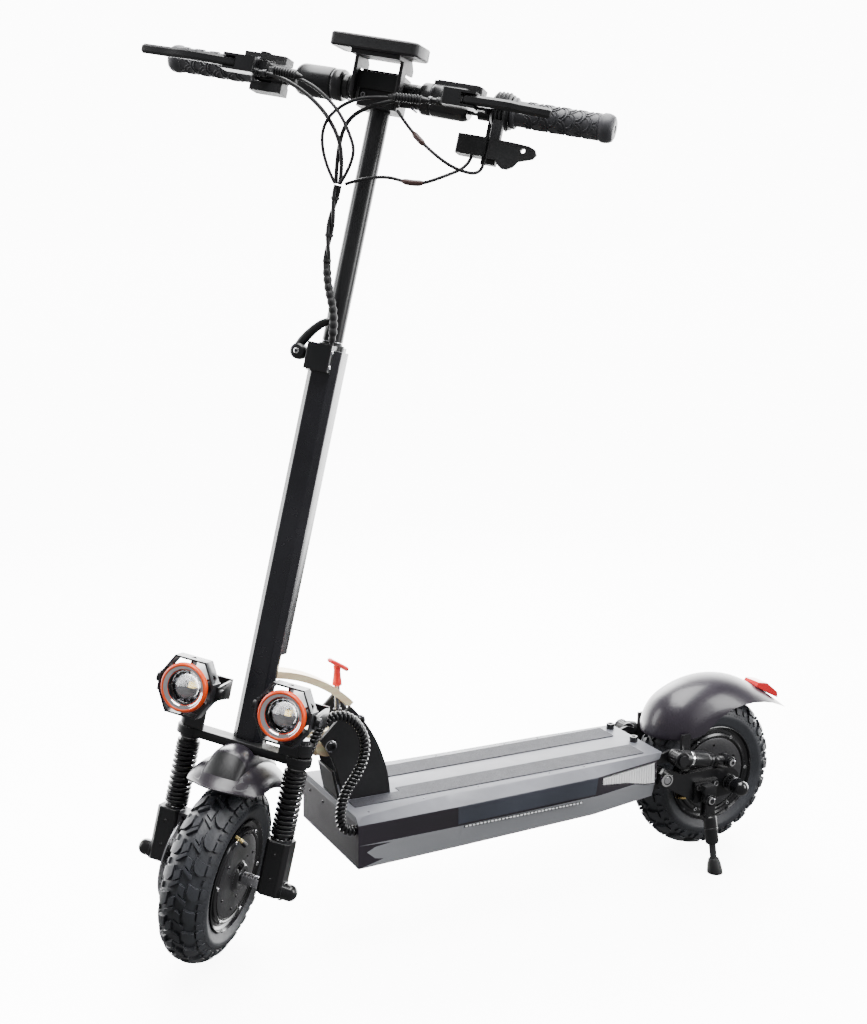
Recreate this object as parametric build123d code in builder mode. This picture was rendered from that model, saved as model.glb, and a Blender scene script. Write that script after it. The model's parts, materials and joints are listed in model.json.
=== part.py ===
"""Electric kick scooter with sprung fork, turned handlebar and kickstand, in millimetres.

The scooter points towards -Y, +X is the rider's left and the tyres stand on z = 0. The steering is
modelled turned to the left, so its pieces are drawn in the frame "steer": x to the left along the
handlebar, y to the rear and z up along the steering axis.
"""

import os
from math import asin, cos, degrees, radians, sin, sqrt, tan

from build123d import *

os.makedirs("parts", exist_ok=True)

# ---- Driving dimensions ----------------------------------------------------------------------
tyre_radius = 127.0
tyre_crown = 35.0  # radius of the tyre's rounded cross-section
rear_axle_y = 392.5
stem_foot_y = -448.5  # where the steering axis meets the floor
head_tilt = 12.85  # degrees that the steering axis leans back
steer_turn = 45.7  # degrees that the bar is turned to the left
fork_offset = 26.0  # front axle ahead of the steering axis
fork_half = 82.0  # fork leg from the steering axis
stanchion_half = 80.0
stanchion_radius = 12.0

deck_front, deck_rear = -264.0, 252.0
deck_floor, deck_waist, deck_rim, deck_top = 124.0, 158.0, 187.0, 197.0

pivot_y, pivot_z = -275.5, 281.0  # neck fold axis
swing_y, swing_z = 268.0, 153.0  # swing arm axis
shock_front_y, shock_front_z = 290.0, 184.0
shock_rear_y, shock_rear_z = 384.0, 166.0
stand_x, stand_y, stand_z = 88.0, 342.0, 112.0  # kickstand axis

stem_half = 21.5  # square stem tube, half its width
stem_chamfer = 8.5
stem_bottom, stem_top = 308.0, 846.0
post_radius = 14.0
post_bottom, post_top = 650.0, 1173.0
bar_height = 1189.5  # bar centre along the steering axis
bar_split = 46.0  # fold joint of each bar half, from the middle
fold_x, fold_h, fold_pin = 46.2, 1173.5, 2.4  # pin that each bar half folds on
bar_end = 312.0
bar_radius = 11.1
qr_x, qr_y, qr_h = -35.5, -21.0, 836.0  # quick-release lever of the stem collar
lamp_x, lamp_y, lamp_z = 70.5, -75.0, 374.0

# ---- Frames ----------------------------------------------------------------------------------
tilt, turn = radians(head_tilt), radians(steer_turn)
steer = Plane(
    origin=(0, stem_foot_y, 0),
    x_dir=(cos(turn), sin(turn) * cos(tilt), -sin(turn) * sin(tilt)),
    z_dir=(0, sin(tilt), cos(tilt)),
)
# Height of the front axle along the steering axis that stands the leaning wheel on the floor.
wheel_lean = sin(turn) * sin(tilt)
hoop_radius = tyre_radius - tyre_crown
axle_floor_z = hoop_radius * sqrt(1 - wheel_lean**2) + tyre_crown
axle_height = (axle_floor_z - fork_offset * cos(turn) * sin(tilt)) / cos(tilt)


def shifted(frame, x=0, y=0, z=0, rx=0, ry=0, rz=0):
    """A plane moved and then turned inside another frame."""
    return Plane(frame.location * Location((x, y, z), (rx, ry, rz)))


def side_plane(frame, x, y=0, z=0):
    """A plane facing left: its own axes are the frame's y and z."""
    return Plane(frame.location * Location((x, y, z)) * Plane.YZ.location)


def front_plane(frame, y, x=0, z=0):
    """A plane facing forward: its own axes are the frame's x and z."""
    return Plane(frame.location * Location((x, y, z)) * Plane.XZ.location)


front_axle_frame = shifted(steer, 0, -fork_offset, axle_height)
rear_axle_frame = shifted(Plane.XY, 0, rear_axle_y, tyre_radius)


# ---- Shapes used again and again -------------------------------------------------------------
def rod(plane, radius, length, bore=0.0, mode=Mode.ADD):
    """A round bar or tube standing on a plane."""
    with BuildSketch(plane) as section:
        Circle(radius)
        if bore:
            Circle(bore, mode=Mode.SUBTRACT)
    extrude(section.sketch, amount=length, mode=mode)


def block(plane, width, depth, height, corner=0.0, mode=Mode.ADD):
    """A rectangular block centred on a plane, with its upright edges rounded if wanted."""
    with BuildSketch(plane) as section:
        if corner:
            RectangleRounded(width, depth, corner)
        else:
            Rectangle(width, depth)
    extrude(section.sketch, amount=height, mode=mode)


def prism(plane, points, height, mode=Mode.ADD):
    """A straight-sided outline extruded from a plane."""
    with BuildSketch(plane) as section:
        with BuildLine():
            Polyline(points, close=True)
        make_face()
    extrude(section.sketch, amount=height, mode=mode)


def turned(plane, points, mode=Mode.ADD, arc=360.0):
    """A profile of (radius, height) points revolved about the plane's normal."""
    upright = Plane(plane.location * Plane.XZ.location)
    with BuildSketch(upright) as section:
        with BuildLine():
            Polyline(points, close=True)
        make_face()
    revolve(section.sketch, axis=Axis(plane.origin, plane.z_dir), revolution_arc=arc, mode=mode)


def capped(plane, radius, length):
    """A round bar with a domed end, like a nut cap."""
    dome = []
    for angle in range(0, 90, 15):
        rise = radius * 0.9 * sin(radians(angle))
        dome.append((radius * cos(radians(angle)), length + rise))
    turned(plane, [(0, 0), (radius, 0)] + dome + [(0, length + radius * 0.9)])


def corner_radii(points, share=0.45):
    """The largest tangent arcs that the runs of a route leave room for."""
    spots = [Vector(*p) for p in points]
    radii = []
    for before, here, after in zip(spots, spots[1:], spots[2:]):
        bend = radians((here - before).get_angle(after - here))
        shorter = min((here - before).length, (after - here).length)
        radii.append(share * shorter / tan(bend / 2))
    return radii


def cable(points, radius):
    """A round cable along a route of straight runs joined by tangent arcs."""
    with BuildLine() as route:
        FilletPolyline(*points, radius=corner_radii(points))
    with BuildSketch(Plane(origin=route.wire() @ 0, z_dir=route.wire() % 0)) as section:
        Circle(radius)
    sweep(section.sketch, path=route.wire(), mode=Mode.ADD)


def on_steer(points):
    """Route points given in the steering frame, in world coordinates."""
    return [tuple(steer.from_local_coords(Vector(*p))) for p in points]


# ---- Deck ------------------------------------------------------------------------------------
def deck_outline(widths, front=deck_front, rear=deck_rear):
    """Plan of the deck from its half widths at the nose, the first third, the hips and the tail."""
    stations = (front, -110.0, 130.0, rear)
    left = list(zip(widths, stations))
    return left + [(-x, y) for x, y in reversed(left)]


def deck_layers(bottom, bottom_z, top, top_z):
    """A body that changes from one plan to another between two heights."""
    with BuildSketch(Plane.XY.offset(bottom_z)) as low:
        with BuildLine():
            Polyline(bottom, close=True)
        make_face()
    with BuildSketch(Plane.XY.offset(top_z)) as high:
        with BuildLine():
            Polyline(top, close=True)
        make_face()
    loft([low.sketch, high.sketch], ruled=True)


waist_plan = (100.0, 100.0, 93.0, 71.0)
floor_plan = (100.0, 94.0, 82.0, 60.0)
hip_run = Vector(waist_plan[3] - waist_plan[2], deck_rear - 130.0, 0)  # left rear side in plan
hip_plane = Plane(origin=(waist_plan[2], 130.0, 0), x_dir=hip_run, z_dir=(hip_run.Y, -hip_run.X, 0))
lamp_outline = [(8, 184), (120, 184), (122, 149), (100, 152), (60, 163), (8, 172)]

with BuildPart() as deck_shell:
    deck_layers(deck_outline(floor_plan), deck_floor, deck_outline(waist_plan), deck_waist)
    prism(Plane.XY.offset(deck_waist), deck_outline(waist_plan), deck_rim - deck_waist)
    cavity = deck_outline((94.0, 88.0, 76.0, 54.0), deck_front + 5, deck_rear - 8)
    prism(Plane.XY.offset(deck_floor + 4), cavity, deck_rim, mode=Mode.SUBTRACT)
    prism(hip_plane.offset(-4), lamp_outline, 10, mode=Mode.SUBTRACT)
    other_hip = Plane(origin=(-waist_plan[2], 130.0, 0), x_dir=(hip_run.X, -hip_run.Y, 0),
                      z_dir=(-hip_run.Y, -hip_run.X, 0))
    prism(other_hip.offset(-4), [(-u, z) for u, z in lamp_outline], 10, mode=Mode.SUBTRACT)
    for side in (1, -1):
        # groove for the light strip
        block(side_plane(Plane.XY, side * 98.5, 0, 155.5), 200, 4, side * 3, mode=Mode.SUBTRACT)

with BuildPart() as deck_lid:
    deck_layers(
        deck_outline(waist_plan, rear=deck_rear + 4), deck_rim,
        deck_outline((92.0, 75.0, 73.0, 69.0), rear=deck_rear + 10), deck_top,
    )

with BuildPart() as grip_strips:
    for side in (1, -1):
        block(shifted(Plane.XY, side * 41, -9, deck_top), 40, 486, 1.2, corner=2)
    block(shifted(Plane.XY, 0, -216, deck_top), 70, 90, 5, mode=Mode.SUBTRACT)

with BuildPart() as battery_pack:
    block(shifted(Plane.XY, 8, -70, deck_floor + 4), 138, 300, 54, corner=4)

with BuildPart() as motor_controller:
    block(shifted(Plane.XY, 0, 176, deck_floor + 4), 96, 100, 40, corner=3)
    for step in range(-3, 4):
        block(shifted(Plane.XY, step * 13, 176, deck_floor + 44), 3, 94, 8)

with BuildPart() as led_strips:
    for side in (1, -1):
        block(side_plane(Plane.XY, side * 98.5, 0, 155.5), 199, 3.8, side * 1.4)

with BuildPart() as side_lamps:
    prism(hip_plane.offset(-4), lamp_outline, 4.8)
    mirror(about=Plane.YZ)

# Rear end plate with the swing arm's lugs and the shock mounts
rear_face = deck_rear
with BuildPart() as rear_bracket:
    block(shifted(Plane.XY, 0, rear_face + 4, deck_floor + 8), 122, 8, 55, corner=2)
    for side in (1, -1):
        lug = side_plane(Plane.XY, side * 55 - 5)
        prism(lug, [(rear_face + 8, 134), (swing_y, 139), (swing_y + 12, 146), (swing_y + 12, 160),
                    (swing_y, 167), (rear_face + 8, 170)], 10)
        horn = side_plane(Plane.XY, 56.5 if side == 1 else -61)
        prism(horn, [(rear_face, 176), (shock_front_y - 6, 174), (shock_front_y + 8, 178),
                     (shock_front_y + 8, 190), (shock_front_y - 6, 194), (rear_face, 186)], 4.5)
        rod(side_plane(Plane.XY, 56.5 if side == 1 else -90, shock_front_y, shock_front_z), 4.0, 33.5)
        rod(side_plane(Plane.XY, 86.8 if side == 1 else -90, shock_front_y, shock_front_z), 8.5, 3.2)
        rod(side_plane(Plane.XY, side * 55 - 6, swing_y, swing_z), 6.0, 12, mode=Mode.SUBTRACT)

# Neck plates that stand on the deck, with the latch keeper between them
plate_x, plate_thick = 26.0, 6.0
with BuildPart() as neck_plates:
    for side in (1, -1):
        start = plate_x if side == 1 else -plate_x - plate_thick
        with BuildSketch(side_plane(Plane.XY, start)) as fin:
            with BuildLine():
                ThreePointArc((-183.5, deck_top), (-199.0, 264.0), (-245.5, 335.0))
                Line((-245.5, 335.0), (-291.0, 291.0))
                ThreePointArc((-291.0, 291.0), (-268.0, 246.0), (-259.0, deck_top))
                Line((-259.0, deck_top), (-183.5, deck_top))
            make_face()
        extrude(fin.sketch, amount=plate_thick)
    web = [(-262.5, deck_top), (-258.5, deck_top), (-267.5, 240), (-271.5, 240)]
    prism(side_plane(Plane.XY, -plate_x), web, 2 * plate_x)
    keeper = [(-258, 304), (-249, 297), (-243, 303), (-252, 313)]
    prism(side_plane(Plane.XY, -plate_x), keeper, 2 * plate_x)
    rod(side_plane(Plane.XY, -40, pivot_y, pivot_z), 6.0, 80, mode=Mode.SUBTRACT)

with BuildPart() as deck_bolts:
    rod(side_plane(Plane.XY, -plate_x - plate_thick, pivot_y, pivot_z), 6.0, 2 * (plate_x + plate_thick))
    for side in (1, -1):
        outer = side * (plate_x + plate_thick)
        for y, z in ((pivot_y, pivot_z), (-232.0, 312.0)):
            rod(side_plane(Plane.XY, outer if side == 1 else outer - 5, y, z), 8.5, 5)
            socket = outer + 2.5 if side == 1 else outer - 5
            rod(side_plane(Plane.XY, socket, y, z), 4, 2.5, mode=Mode.SUBTRACT)
        rod(side_plane(Plane.XY, 50 if side == 1 else -79, swing_y, swing_z), 6.0, 29)
        rod(side_plane(Plane.XY, 72.4 if side == 1 else -79, swing_y, swing_z), 10.5, 6.6)
    for x in (-54, 11):
        rod(shifted(Plane.XY, x, 249, deck_top), 6.5, 9)
        rod(shifted(Plane.XY, x, 249, deck_top + 5), 3.2, 4, mode=Mode.SUBTRACT)

# ---- Folding neck ----------------------------------------------------------------------------
head_bottom, head_top = 318.0, 420.0
head_outer, head_inner = 17.0, 14.0
steerer_radius = 10.0
arc_y, arc_z, arc_outer, arc_inner = -375.5, 199.0, 196.0, 186.0


def arc_point(radius, angle):
    return (arc_y + radius * cos(radians(angle)), arc_z + radius * sin(radians(angle)))


pin_y = -252.0
with BuildPart() as neck_arm:
    with BuildSketch(side_plane(Plane.XY, -13)) as rim:
        with BuildLine():
            ThreePointArc(arc_point(arc_outer, 43), arc_point(arc_outer, 62), arc_point(arc_outer, 84))
            Line(arc_point(arc_outer, 84), arc_point(arc_inner, 84))
            ThreePointArc(arc_point(arc_inner, 84), arc_point(arc_inner, 62), arc_point(arc_inner, 43))
            Line(arc_point(arc_inner, 43), arc_point(arc_outer, 43))
        make_face()
    extrude(rim.sketch, amount=26)
    lower_arm = [(-372, 324), (-352, 334), (-310, 305), (-284, 298),
                 (-271, 262), (-290, 262), (-325, 286), (-366, 316)]
    prism(side_plane(Plane.XY, -11), lower_arm, 22)
    rod(side_plane(Plane.XY, -20, pivot_y, pivot_z), 19, 40)
    rod(shifted(steer, 0, 0, head_bottom), head_outer, head_top - head_bottom)
    rod(shifted(steer, 0, 0, head_bottom), head_inner, head_top - head_bottom, mode=Mode.SUBTRACT)
    rod(side_plane(Plane.XY, -21, pivot_y, pivot_z), 6.05, 42, mode=Mode.SUBTRACT)
    rod(shifted(Plane.XY, 0, pin_y, 318), 4.05, 60, mode=Mode.SUBTRACT)

with BuildPart() as headset_bearings:
    for height in (head_bottom, head_top - 14):
        rod(shifted(steer, 0, 0, height), head_inner, 14, bore=steerer_radius + 0.05)

with BuildPart() as latch_handle:
    rod(shifted(Plane.XY, 0, pin_y, 320.5), 4.0, 48)
    turned(shifted(Plane.XY, 0, pin_y, 357), [(0, 0), (7, 0), (4.5, 26), (0, 26)])
    bar = shifted(Plane.XY, 0, pin_y, 384, rx=-32)
    block(bar, 15, 34, 6, corner=4)
    rod(shifted(Plane.XY, 0, pin_y, 320.5), 6.0, 2)

# ---- Steering head, fork crown and stem ------------------------------------------------------
crown_bottom = 296.0
stanchion_y = -21.0


def octagon(half, chamfer):
    """Corner points of a square with chamfered corners."""
    k = half - chamfer
    return [(half, k), (k, half), (-k, half), (-half, k),
            (-half, -k), (-k, -half), (k, -half), (half, -k)]


with BuildPart() as fork_crown:
    block(shifted(steer, 0, stanchion_y, crown_bottom), 160, 30, stem_bottom - crown_bottom, corner=6)
    rod(shifted(steer, 0, 0, crown_bottom), 22, stem_bottom - crown_bottom)
    for side in (1, -1):
        spot = shifted(steer, side * stanchion_half, stanchion_y, crown_bottom)
        rod(spot, 19, stem_bottom - crown_bottom)
    rod(shifted(steer, 0, 0, stem_bottom), 16.9, 8)
    rod(shifted(steer, 0, 0, crown_bottom), steerer_radius, 150)
    prism(shifted(steer, 0, 0, 432), octagon(18.5, 7.3), 14)
    for side in (1, -1):
        spot = shifted(steer, side * stanchion_half, stanchion_y, crown_bottom)
        rod(spot, stanchion_radius, 40, mode=Mode.SUBTRACT)

with BuildPart() as stem_tube:
    foot, length = shifted(steer, 0, 0, stem_bottom), stem_top - stem_bottom
    prism(foot, octagon(stem_half, stem_chamfer), length)
    prism(foot, octagon(18.5, 7.3), length, mode=Mode.SUBTRACT)
    # the head tube's arm passes through the open back of the stem's foot
    block(shifted(steer, 0, 14, stem_bottom), 50, 40, 122, mode=Mode.SUBTRACT)

# The clamp wraps the stem's front and left sides only and leaves its right side bare.
collar_bottom, collar_top = 814.0, 852.0
collar_right = 13.0
with BuildPart() as stem_collar:
    prism(shifted(steer, 0, 0, collar_bottom), octagon(24, 9.5), collar_top - collar_bottom)
    block(shifted(steer, -4.5, -28, collar_bottom + 2), 35, 9, collar_top - collar_bottom - 2, corner=2)
    block(shifted(steer, -31, -7.5, 829), 24, 7, 14, corner=2)
    block(shifted(steer, collar_right + 20, 0, 800), 40, 80, 60, mode=Mode.SUBTRACT)
    prism(shifted(steer, 0, 0, collar_bottom), octagon(stem_half, stem_chamfer),
          stem_top - collar_bottom, mode=Mode.SUBTRACT)
    rod(shifted(steer, 0, 0, collar_bottom), 18.3, collar_top - collar_bottom)
    rod(shifted(steer, 0, 0, collar_bottom), post_radius + 0.05, 60, mode=Mode.SUBTRACT)
    rod(front_plane(steer, -8, qr_x, qr_h), 2.0, 26)

with BuildPart() as stanchions:
    for side in (1, -1):
        foot = shifted(steer, side * stanchion_half, stanchion_y, 172)
        rod(foot, stanchion_radius, 160)
        rod(shifted(steer, side * stanchion_half, stanchion_y, crown_bottom - 9), 15.5, 9)

spring_top, spring_bottom = crown_bottom - 9.0, 194.0
with BuildPart() as fork_springs:
    for side in (1, -1):
        foot = shifted(steer, side * stanchion_half, stanchion_y, spring_bottom)
        rod(foot, 16.5, spring_top - spring_bottom, bore=12.6)

strap_y = -37.0
with BuildPart() as headlight_brackets:
    for side in (1, -1):
        middle = side * lamp_x
        rod(shifted(steer, side * stanchion_half, stanchion_y, 310.5), 16.3, 16)
        block(shifted(steer, middle, strap_y, 309), 28, 4, 54)
        block(shifted(steer, middle, strap_y, 360), 85, 4, 28)
        for ear in (1, -1):
            edge = middle + ear * 41.5 - 1.5
            flap = [(strap_y + 1, 361), (strap_y + 1, 387), (lamp_y - 6, 383), (lamp_y - 6, 365)]
            prism(side_plane(steer, edge), flap, 3)
            stub = middle + (37 if ear == 1 else -46)
            head = middle + (42.5 if ear == 1 else -48)
            rod(side_plane(steer, stub, lamp_y, lamp_z), 3.0, 9)
            rod(side_plane(steer, head, lamp_y, lamp_z), 6, 5.5)
        bore = shifted(steer, side * stanchion_half, stanchion_y, 300)
        rod(bore, stanchion_radius, 40, mode=Mode.SUBTRACT)

fender_radius = 158.0
with BuildPart() as front_fender:
    hood_end = shifted(front_axle_frame, rx=18)
    with BuildSketch(Plane(hood_end.location * Plane.XZ.location)) as skin:
        with BuildLine():
            ThreePointArc((54, 128), (0, fender_radius + 3), (-54, 128))
            Line((-54, 128), (-51, 128))
            ThreePointArc((-51, 128), (0, fender_radius), (51, 128))
            Line((51, 128), (54, 128))
        make_face()
    across = Axis(front_axle_frame.origin, front_axle_frame.x_dir)
    revolve(skin.sketch, axis=across, revolution_arc=-56)
    block(shifted(steer, 0, -26, axle_height + fender_radius + 1), 30, 26,
          crown_bottom - axle_height - fender_radius - 1)

# ---- Fork lowers and front wheel -------------------------------------------------------------
leg_bottom, leg_top = 116.0, 192.0
disc_x = -57.0  # brake discs on the wheels' right
with BuildPart() as fork_legs:
    for side in (1, -1):
        foot = shifted(steer, side * fork_half, -24, leg_bottom)
        prism(foot, octagon(17, 4), leg_top - leg_bottom)
        rod(shifted(steer, side * stanchion_half, stanchion_y, leg_top), 15, 2)
        well = shifted(steer, side * stanchion_half, stanchion_y, 142)
        rod(well, stanchion_radius + 0.05, 60, mode=Mode.SUBTRACT)
        dropout = side_plane(steer, side * fork_half - 30, -fork_offset, axle_height)
        rod(dropout, 6.0, 60, mode=Mode.SUBTRACT)
    # brake caliper on the right leg, open over the disc
    block(shifted(steer, -57.5, -26, axle_height + 36), 15, 30, 30, corner=2)
    rod(side_plane(front_axle_frame, disc_x - 1.6), 61.5, 3.2, mode=Mode.SUBTRACT)


def axle_with_stator(frame, half):
    """Wheel axle with the motor's fixed windings in the middle and a domed nut at each end."""
    rod(side_plane(frame, -half), 6.0, 2 * half)
    rod(side_plane(frame, -12), 50.0, 24)
    rod(side_plane(frame, -18), 14.0, 36)
    for side in (1, -1):
        cap = Plane(frame.location * Location((side * half, 0, 0), (0, side * 90, 0)))
        capped(cap, 11.5, 10)


def tyre(frame):
    """Air tyre: a rounded hollow carcass on the rim."""
    side = Plane(frame.location * Location((0, 0, 0), (0, 90, 0)))
    upright = Plane(side.location * Plane.XZ.location)
    with BuildSketch(upright) as section:
        with Locations((hoop_radius, 0)):
            Circle(tyre_crown)
            Circle(tyre_crown - 11, mode=Mode.SUBTRACT)
        with Locations((rim_radius - 12, 0)):
            Rectangle(24, 80, mode=Mode.SUBTRACT)
    revolve(section.sketch, axis=Axis(side.origin, side.z_dir))


rim_radius = 78.0


def hub(frame):
    """Motor hub: rim, hollow drum and side covers with a ring of cover bolts."""
    side = Plane(frame.location * Location((0, 0, 0), (0, 90, 0)))
    turned(side, [(6.06, 20), (15, 20), (15, 17), (60, 17), (60, -17), (15, -17), (15, -20),
                  (6.06, -20), (6.06, -38), (17, -38), (20, -30), (62, -30), (64, -26),
                  (rim_radius - 2, -26), (rim_radius, -31), (rim_radius, 31), (rim_radius - 2, 26),
                  (64, 26), (62, 30), (20, 30), (17, 38), (6.06, 38)])
    for face in (30, -33):
        for step in range(6):
            angle = radians(60 * step + 30)
            rod(side_plane(frame, face, 52 * cos(angle), 52 * sin(angle)), 3.6, 3)


def disc(frame):
    """Brake disc on a carrier that reaches to the hub, with a ring of vents."""
    start = side_plane(frame, disc_x - 1)
    with BuildSketch(start) as plate:
        Circle(60)
        Circle(7, mode=Mode.SUBTRACT)
        with PolarLocations(49, 12):
            Circle(4, mode=Mode.SUBTRACT)
        with PolarLocations(28, 6):
            Circle(9, mode=Mode.SUBTRACT)
    extrude(plate.sketch, amount=2)
    rod(side_plane(frame, disc_x + 1), 13, -38 - disc_x - 1, bore=7)


with BuildPart() as front_axle:
    axle_with_stator(front_axle_frame, 99.0)
with BuildPart() as front_tyre:
    tyre(front_axle_frame)
with BuildPart() as front_hub:
    hub(front_axle_frame)
with BuildPart() as front_disc:
    disc(front_axle_frame)

# ---- Headlights ------------------------------------------------------------------------------
lamp_half = 39.0
lamp_wide = 39.5
lamp_tube = 27.0
with BuildPart() as headlight_housings:
    for side in (1, -1):
        face = front_plane(steer, lamp_y + 6, side * lamp_x, lamp_z)
        with BuildSketch(face) as shell:
            RegularPolygon(lamp_half, 6, major_radius=False)
            Rectangle(2 * lamp_wide, 120, mode=Mode.INTERSECT)
            RegularPolygon(lamp_half - 2.5, 6, major_radius=False, mode=Mode.SUBTRACT)
        extrude(shell.sketch, amount=22)
        for ear in (1, -1):
            block(shifted(face, ear * (lamp_wide - 1.25), 0, 0), 2.5, 26, 22)
        for step in range(6):
            spoke = shifted(face, 0, 0, 2, rz=60 * step + 30)
            middle = (lamp_tube + lamp_half - 3) / 2
            block(shifted(spoke, middle, 0, 0), lamp_half - lamp_tube + 1, 3, 14)
        for step in (0, 1, 2):
            facet = shifted(face, 0, 0, 11, rz=60 * step + 30)
            window = Plane(facet.location * Location((lamp_half - 6, 0, 0), (0, 90, 0)))
            with BuildSketch(window) as hole:
                RegularPolygon(6, 3)
            extrude(hole.sketch, amount=8, mode=Mode.SUBTRACT)
        rod(front_plane(steer, lamp_y + 24, side * lamp_x, lamp_z), lamp_tube, 38)
        rod(side_plane(steer, side * lamp_x - 45, lamp_y, lamp_z), 3.1, 10, mode=Mode.SUBTRACT)
        rod(side_plane(steer, side * lamp_x + 35, lamp_y, lamp_z), 3.1, 10, mode=Mode.SUBTRACT)
        rod(front_plane(steer, lamp_y + 20, side * lamp_x, lamp_z), 24, 40, mode=Mode.SUBTRACT)

with BuildPart() as headlight_rings:
    for side in (1, -1):
        rim_plane = front_plane(steer, lamp_y - 14, side * lamp_x, lamp_z)
        turned(rim_plane, [(24, 0), (32, 0), (33.5, 3), (32.5, 8), (27, 9), (24, 5)])

with BuildPart() as headlight_lenses:
    for side in (1, -1):
        bowl = front_plane(steer, lamp_y + 20, side * lamp_x, lamp_z)
        turned(bowl, [(0, 0), (9, 0), (21, 20), (23.2, 31), (24, 32), (24, 38), (14, 41.5), (0, 43)])

# ---- Height-adjustable post, bar clamp and display ---------------------------------------------
with BuildPart() as post_tube:
    rod(shifted(steer, 0, 0, post_bottom), post_radius, post_top - post_bottom, bore=post_radius - 2.5)

with BuildPart() as bar_clamp:
    block(shifted(steer, 0, 0, 1164), 56, 44, 47, corner=5)
    block(side_plane(steer, -29, 0, bar_height), 44, 3, 58, mode=Mode.SUBTRACT)
    rod(side_plane(steer, -bar_split, 0, bar_height), 15.9, 2 * bar_split)
    rod(shifted(steer, 0, 0, 1160), post_radius, post_top - 1160, mode=Mode.SUBTRACT)
    for side in (1, -1):
        rod(front_plane(steer, 9, side * fold_x, fold_h), fold_pin, 18)
        for height in (1178, 1201):
            rod(front_plane(steer, -20, side * 19, height), 4, 4)

display_plane = shifted(steer, -3, -37, 1238, rx=5)
display_half, display_reach = 60.0, 29.0
with BuildPart() as display_unit:
    edge, corner = display_half, display_half - 7
    near, far = display_reach, display_reach - 7
    with BuildSketch(shifted(display_plane, 0, 0, -9)) as slab:
        with BuildLine():
            Polyline((-edge, -far), (-corner, -near), (corner, -near), (edge, -far),
                     (edge, far), (corner, near), (-corner, near), (-edge, far), close=True)
        make_face()
    extrude(slab.sketch, amount=17)
    chamfer(display_unit.edges().group_by(SortBy.LENGTH)[-1], 2.0)

with BuildPart() as display_bracket:
    rib = [(-38, 1176), (-24, 1168), (-22.2, 1168), (-22.2, 1212), (4, 1214), (4, 1222),
           (-12, 1236), (-40, 1236)]
    for side in (1, -1):
        prism(side_plane(steer, side * 31 - 2.5), rib, 5)
    block(shifted(display_plane, 3, 0, -15), 67, 44, 6)
    block(shifted(steer, 0, -24.2, 1186), 62, 4, 22)
    add(display_unit.part, mode=Mode.SUBTRACT)
    add(bar_clamp.part, mode=Mode.SUBTRACT)

with BuildPart() as display_glass:
    block(shifted(display_plane, 0, 0, 8), 96, 44, 1.2, corner=4)

# ---- Handlebar halves, grips and controls ------------------------------------------------------
grip_length = 134.0
grip_radius = 17.5


def along_bar(side, at, y=0.0, height=bar_height):
    """A plane across the bar that faces outward on one side of the handlebar."""
    return Plane(steer.location * Location((side * at, y, height), (0, side * 90, 0)))


def bar_half(side):
    """Folding bar half: the tube and, round its root, the screwed locking sleeve."""
    root = along_bar(side, bar_split + 0.4)
    rod(root, bar_radius, bar_end - 6 - bar_split)
    turned(root, [(0, 0), (15.9, 0), (15.9, 8), (19.5, 8), (20.8, 11), (20.8, 22), (19.2, 22),
                  (19.2, 24.5), (21.2, 24.5), (21.2, 68), (18.5, 74), (0, 74)])
    pin_hole = front_plane(steer, 12, side * fold_x, fold_h)
    rod(pin_hole, fold_pin + 0.05, 24, mode=Mode.SUBTRACT)


def grip(side):
    """Rubber grip with a rounded closed end, a slight waist and a flange at its inner end."""
    turned(along_bar(side, bar_end - grip_length), [
        (bar_radius, 0), (20, 0), (20, 5), (grip_radius - 0.8, 7), (grip_radius - 1.4, 60),
        (grip_radius, 108), (grip_radius + 1, 122), (grip_radius - 1, grip_length - 2),
        (grip_radius - 5, grip_length), (0, grip_length), (0, grip_length - 5.6),
        (bar_radius, grip_length - 5.6)])


def perch(side, clamp, pivot):
    """Brake lever clamp on the bar, with the lever's fork ahead of it and the cable adjuster."""
    rod(along_bar(side, clamp - 8), 15.5, 16, bore=bar_radius)
    block(shifted(steer, side * (clamp - 1), -25, bar_height - 10), 18, 24, 18, corner=3)
    block(shifted(steer, side * (pivot - 14), -43, bar_height - 12), 46, 20, 21, corner=4)
    block(shifted(steer, side * (pivot + 12), -46, bar_height - 8.6), 46, 34, 14.2,
          mode=Mode.SUBTRACT)
    rod(shifted(steer, side * pivot, -45, bar_height - 12), 2.5, 21)
    spot = Location((side * (pivot - 37), -44, bar_height - 9), (0, -side * 90, 0))
    nut = Plane(steer.location * spot)
    rod(nut, 5.0, 6)
    rod(nut, 3.6, 12)
    rod(Plane(nut.location * Location((0, 0, 12))), 4.4, 5)


def lever(side, pivot, reach):
    """Brake lever blade that runs outward ahead of the grip, with an S bend and a round tip."""
    outline = [(-8, -40), (-9, -50), (8, -53), (50, -55), (0.62 * reach, -50), (reach - 5, -46),
               (reach, -42.5), (reach - 3, -39), (0.6 * reach, -42), (48, -46), (14, -40.5), (6, -38)]
    blade = [(side * x, y) for x, y in outline]
    prism(shifted(steer, side * pivot, 0, bar_height - 8), blade, 13)
    rod(shifted(steer, side * pivot, -45, bar_height - 12), 2.55, 21, mode=Mode.SUBTRACT)


left_clamp, left_pivot = 142.0, 132.0
right_clamp, right_pivot = 190.0, 203.0
with BuildPart() as bar_left:
    bar_half(1)
with BuildPart() as bar_right:
    bar_half(-1)
with BuildPart() as grip_left:
    grip(1)
with BuildPart() as grip_right:
    grip(-1)
with BuildPart() as perch_left:
    perch(1, left_clamp, left_pivot)
    add(bar_left.part, mode=Mode.SUBTRACT)
with BuildPart() as perch_right:
    perch(-1, right_clamp - 25, right_pivot)
    add(bar_right.part, mode=Mode.SUBTRACT)
with BuildPart() as lever_left:
    lever(1, left_pivot, 106)
with BuildPart() as lever_right:
    lever(-1, right_pivot, 133)

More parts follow.
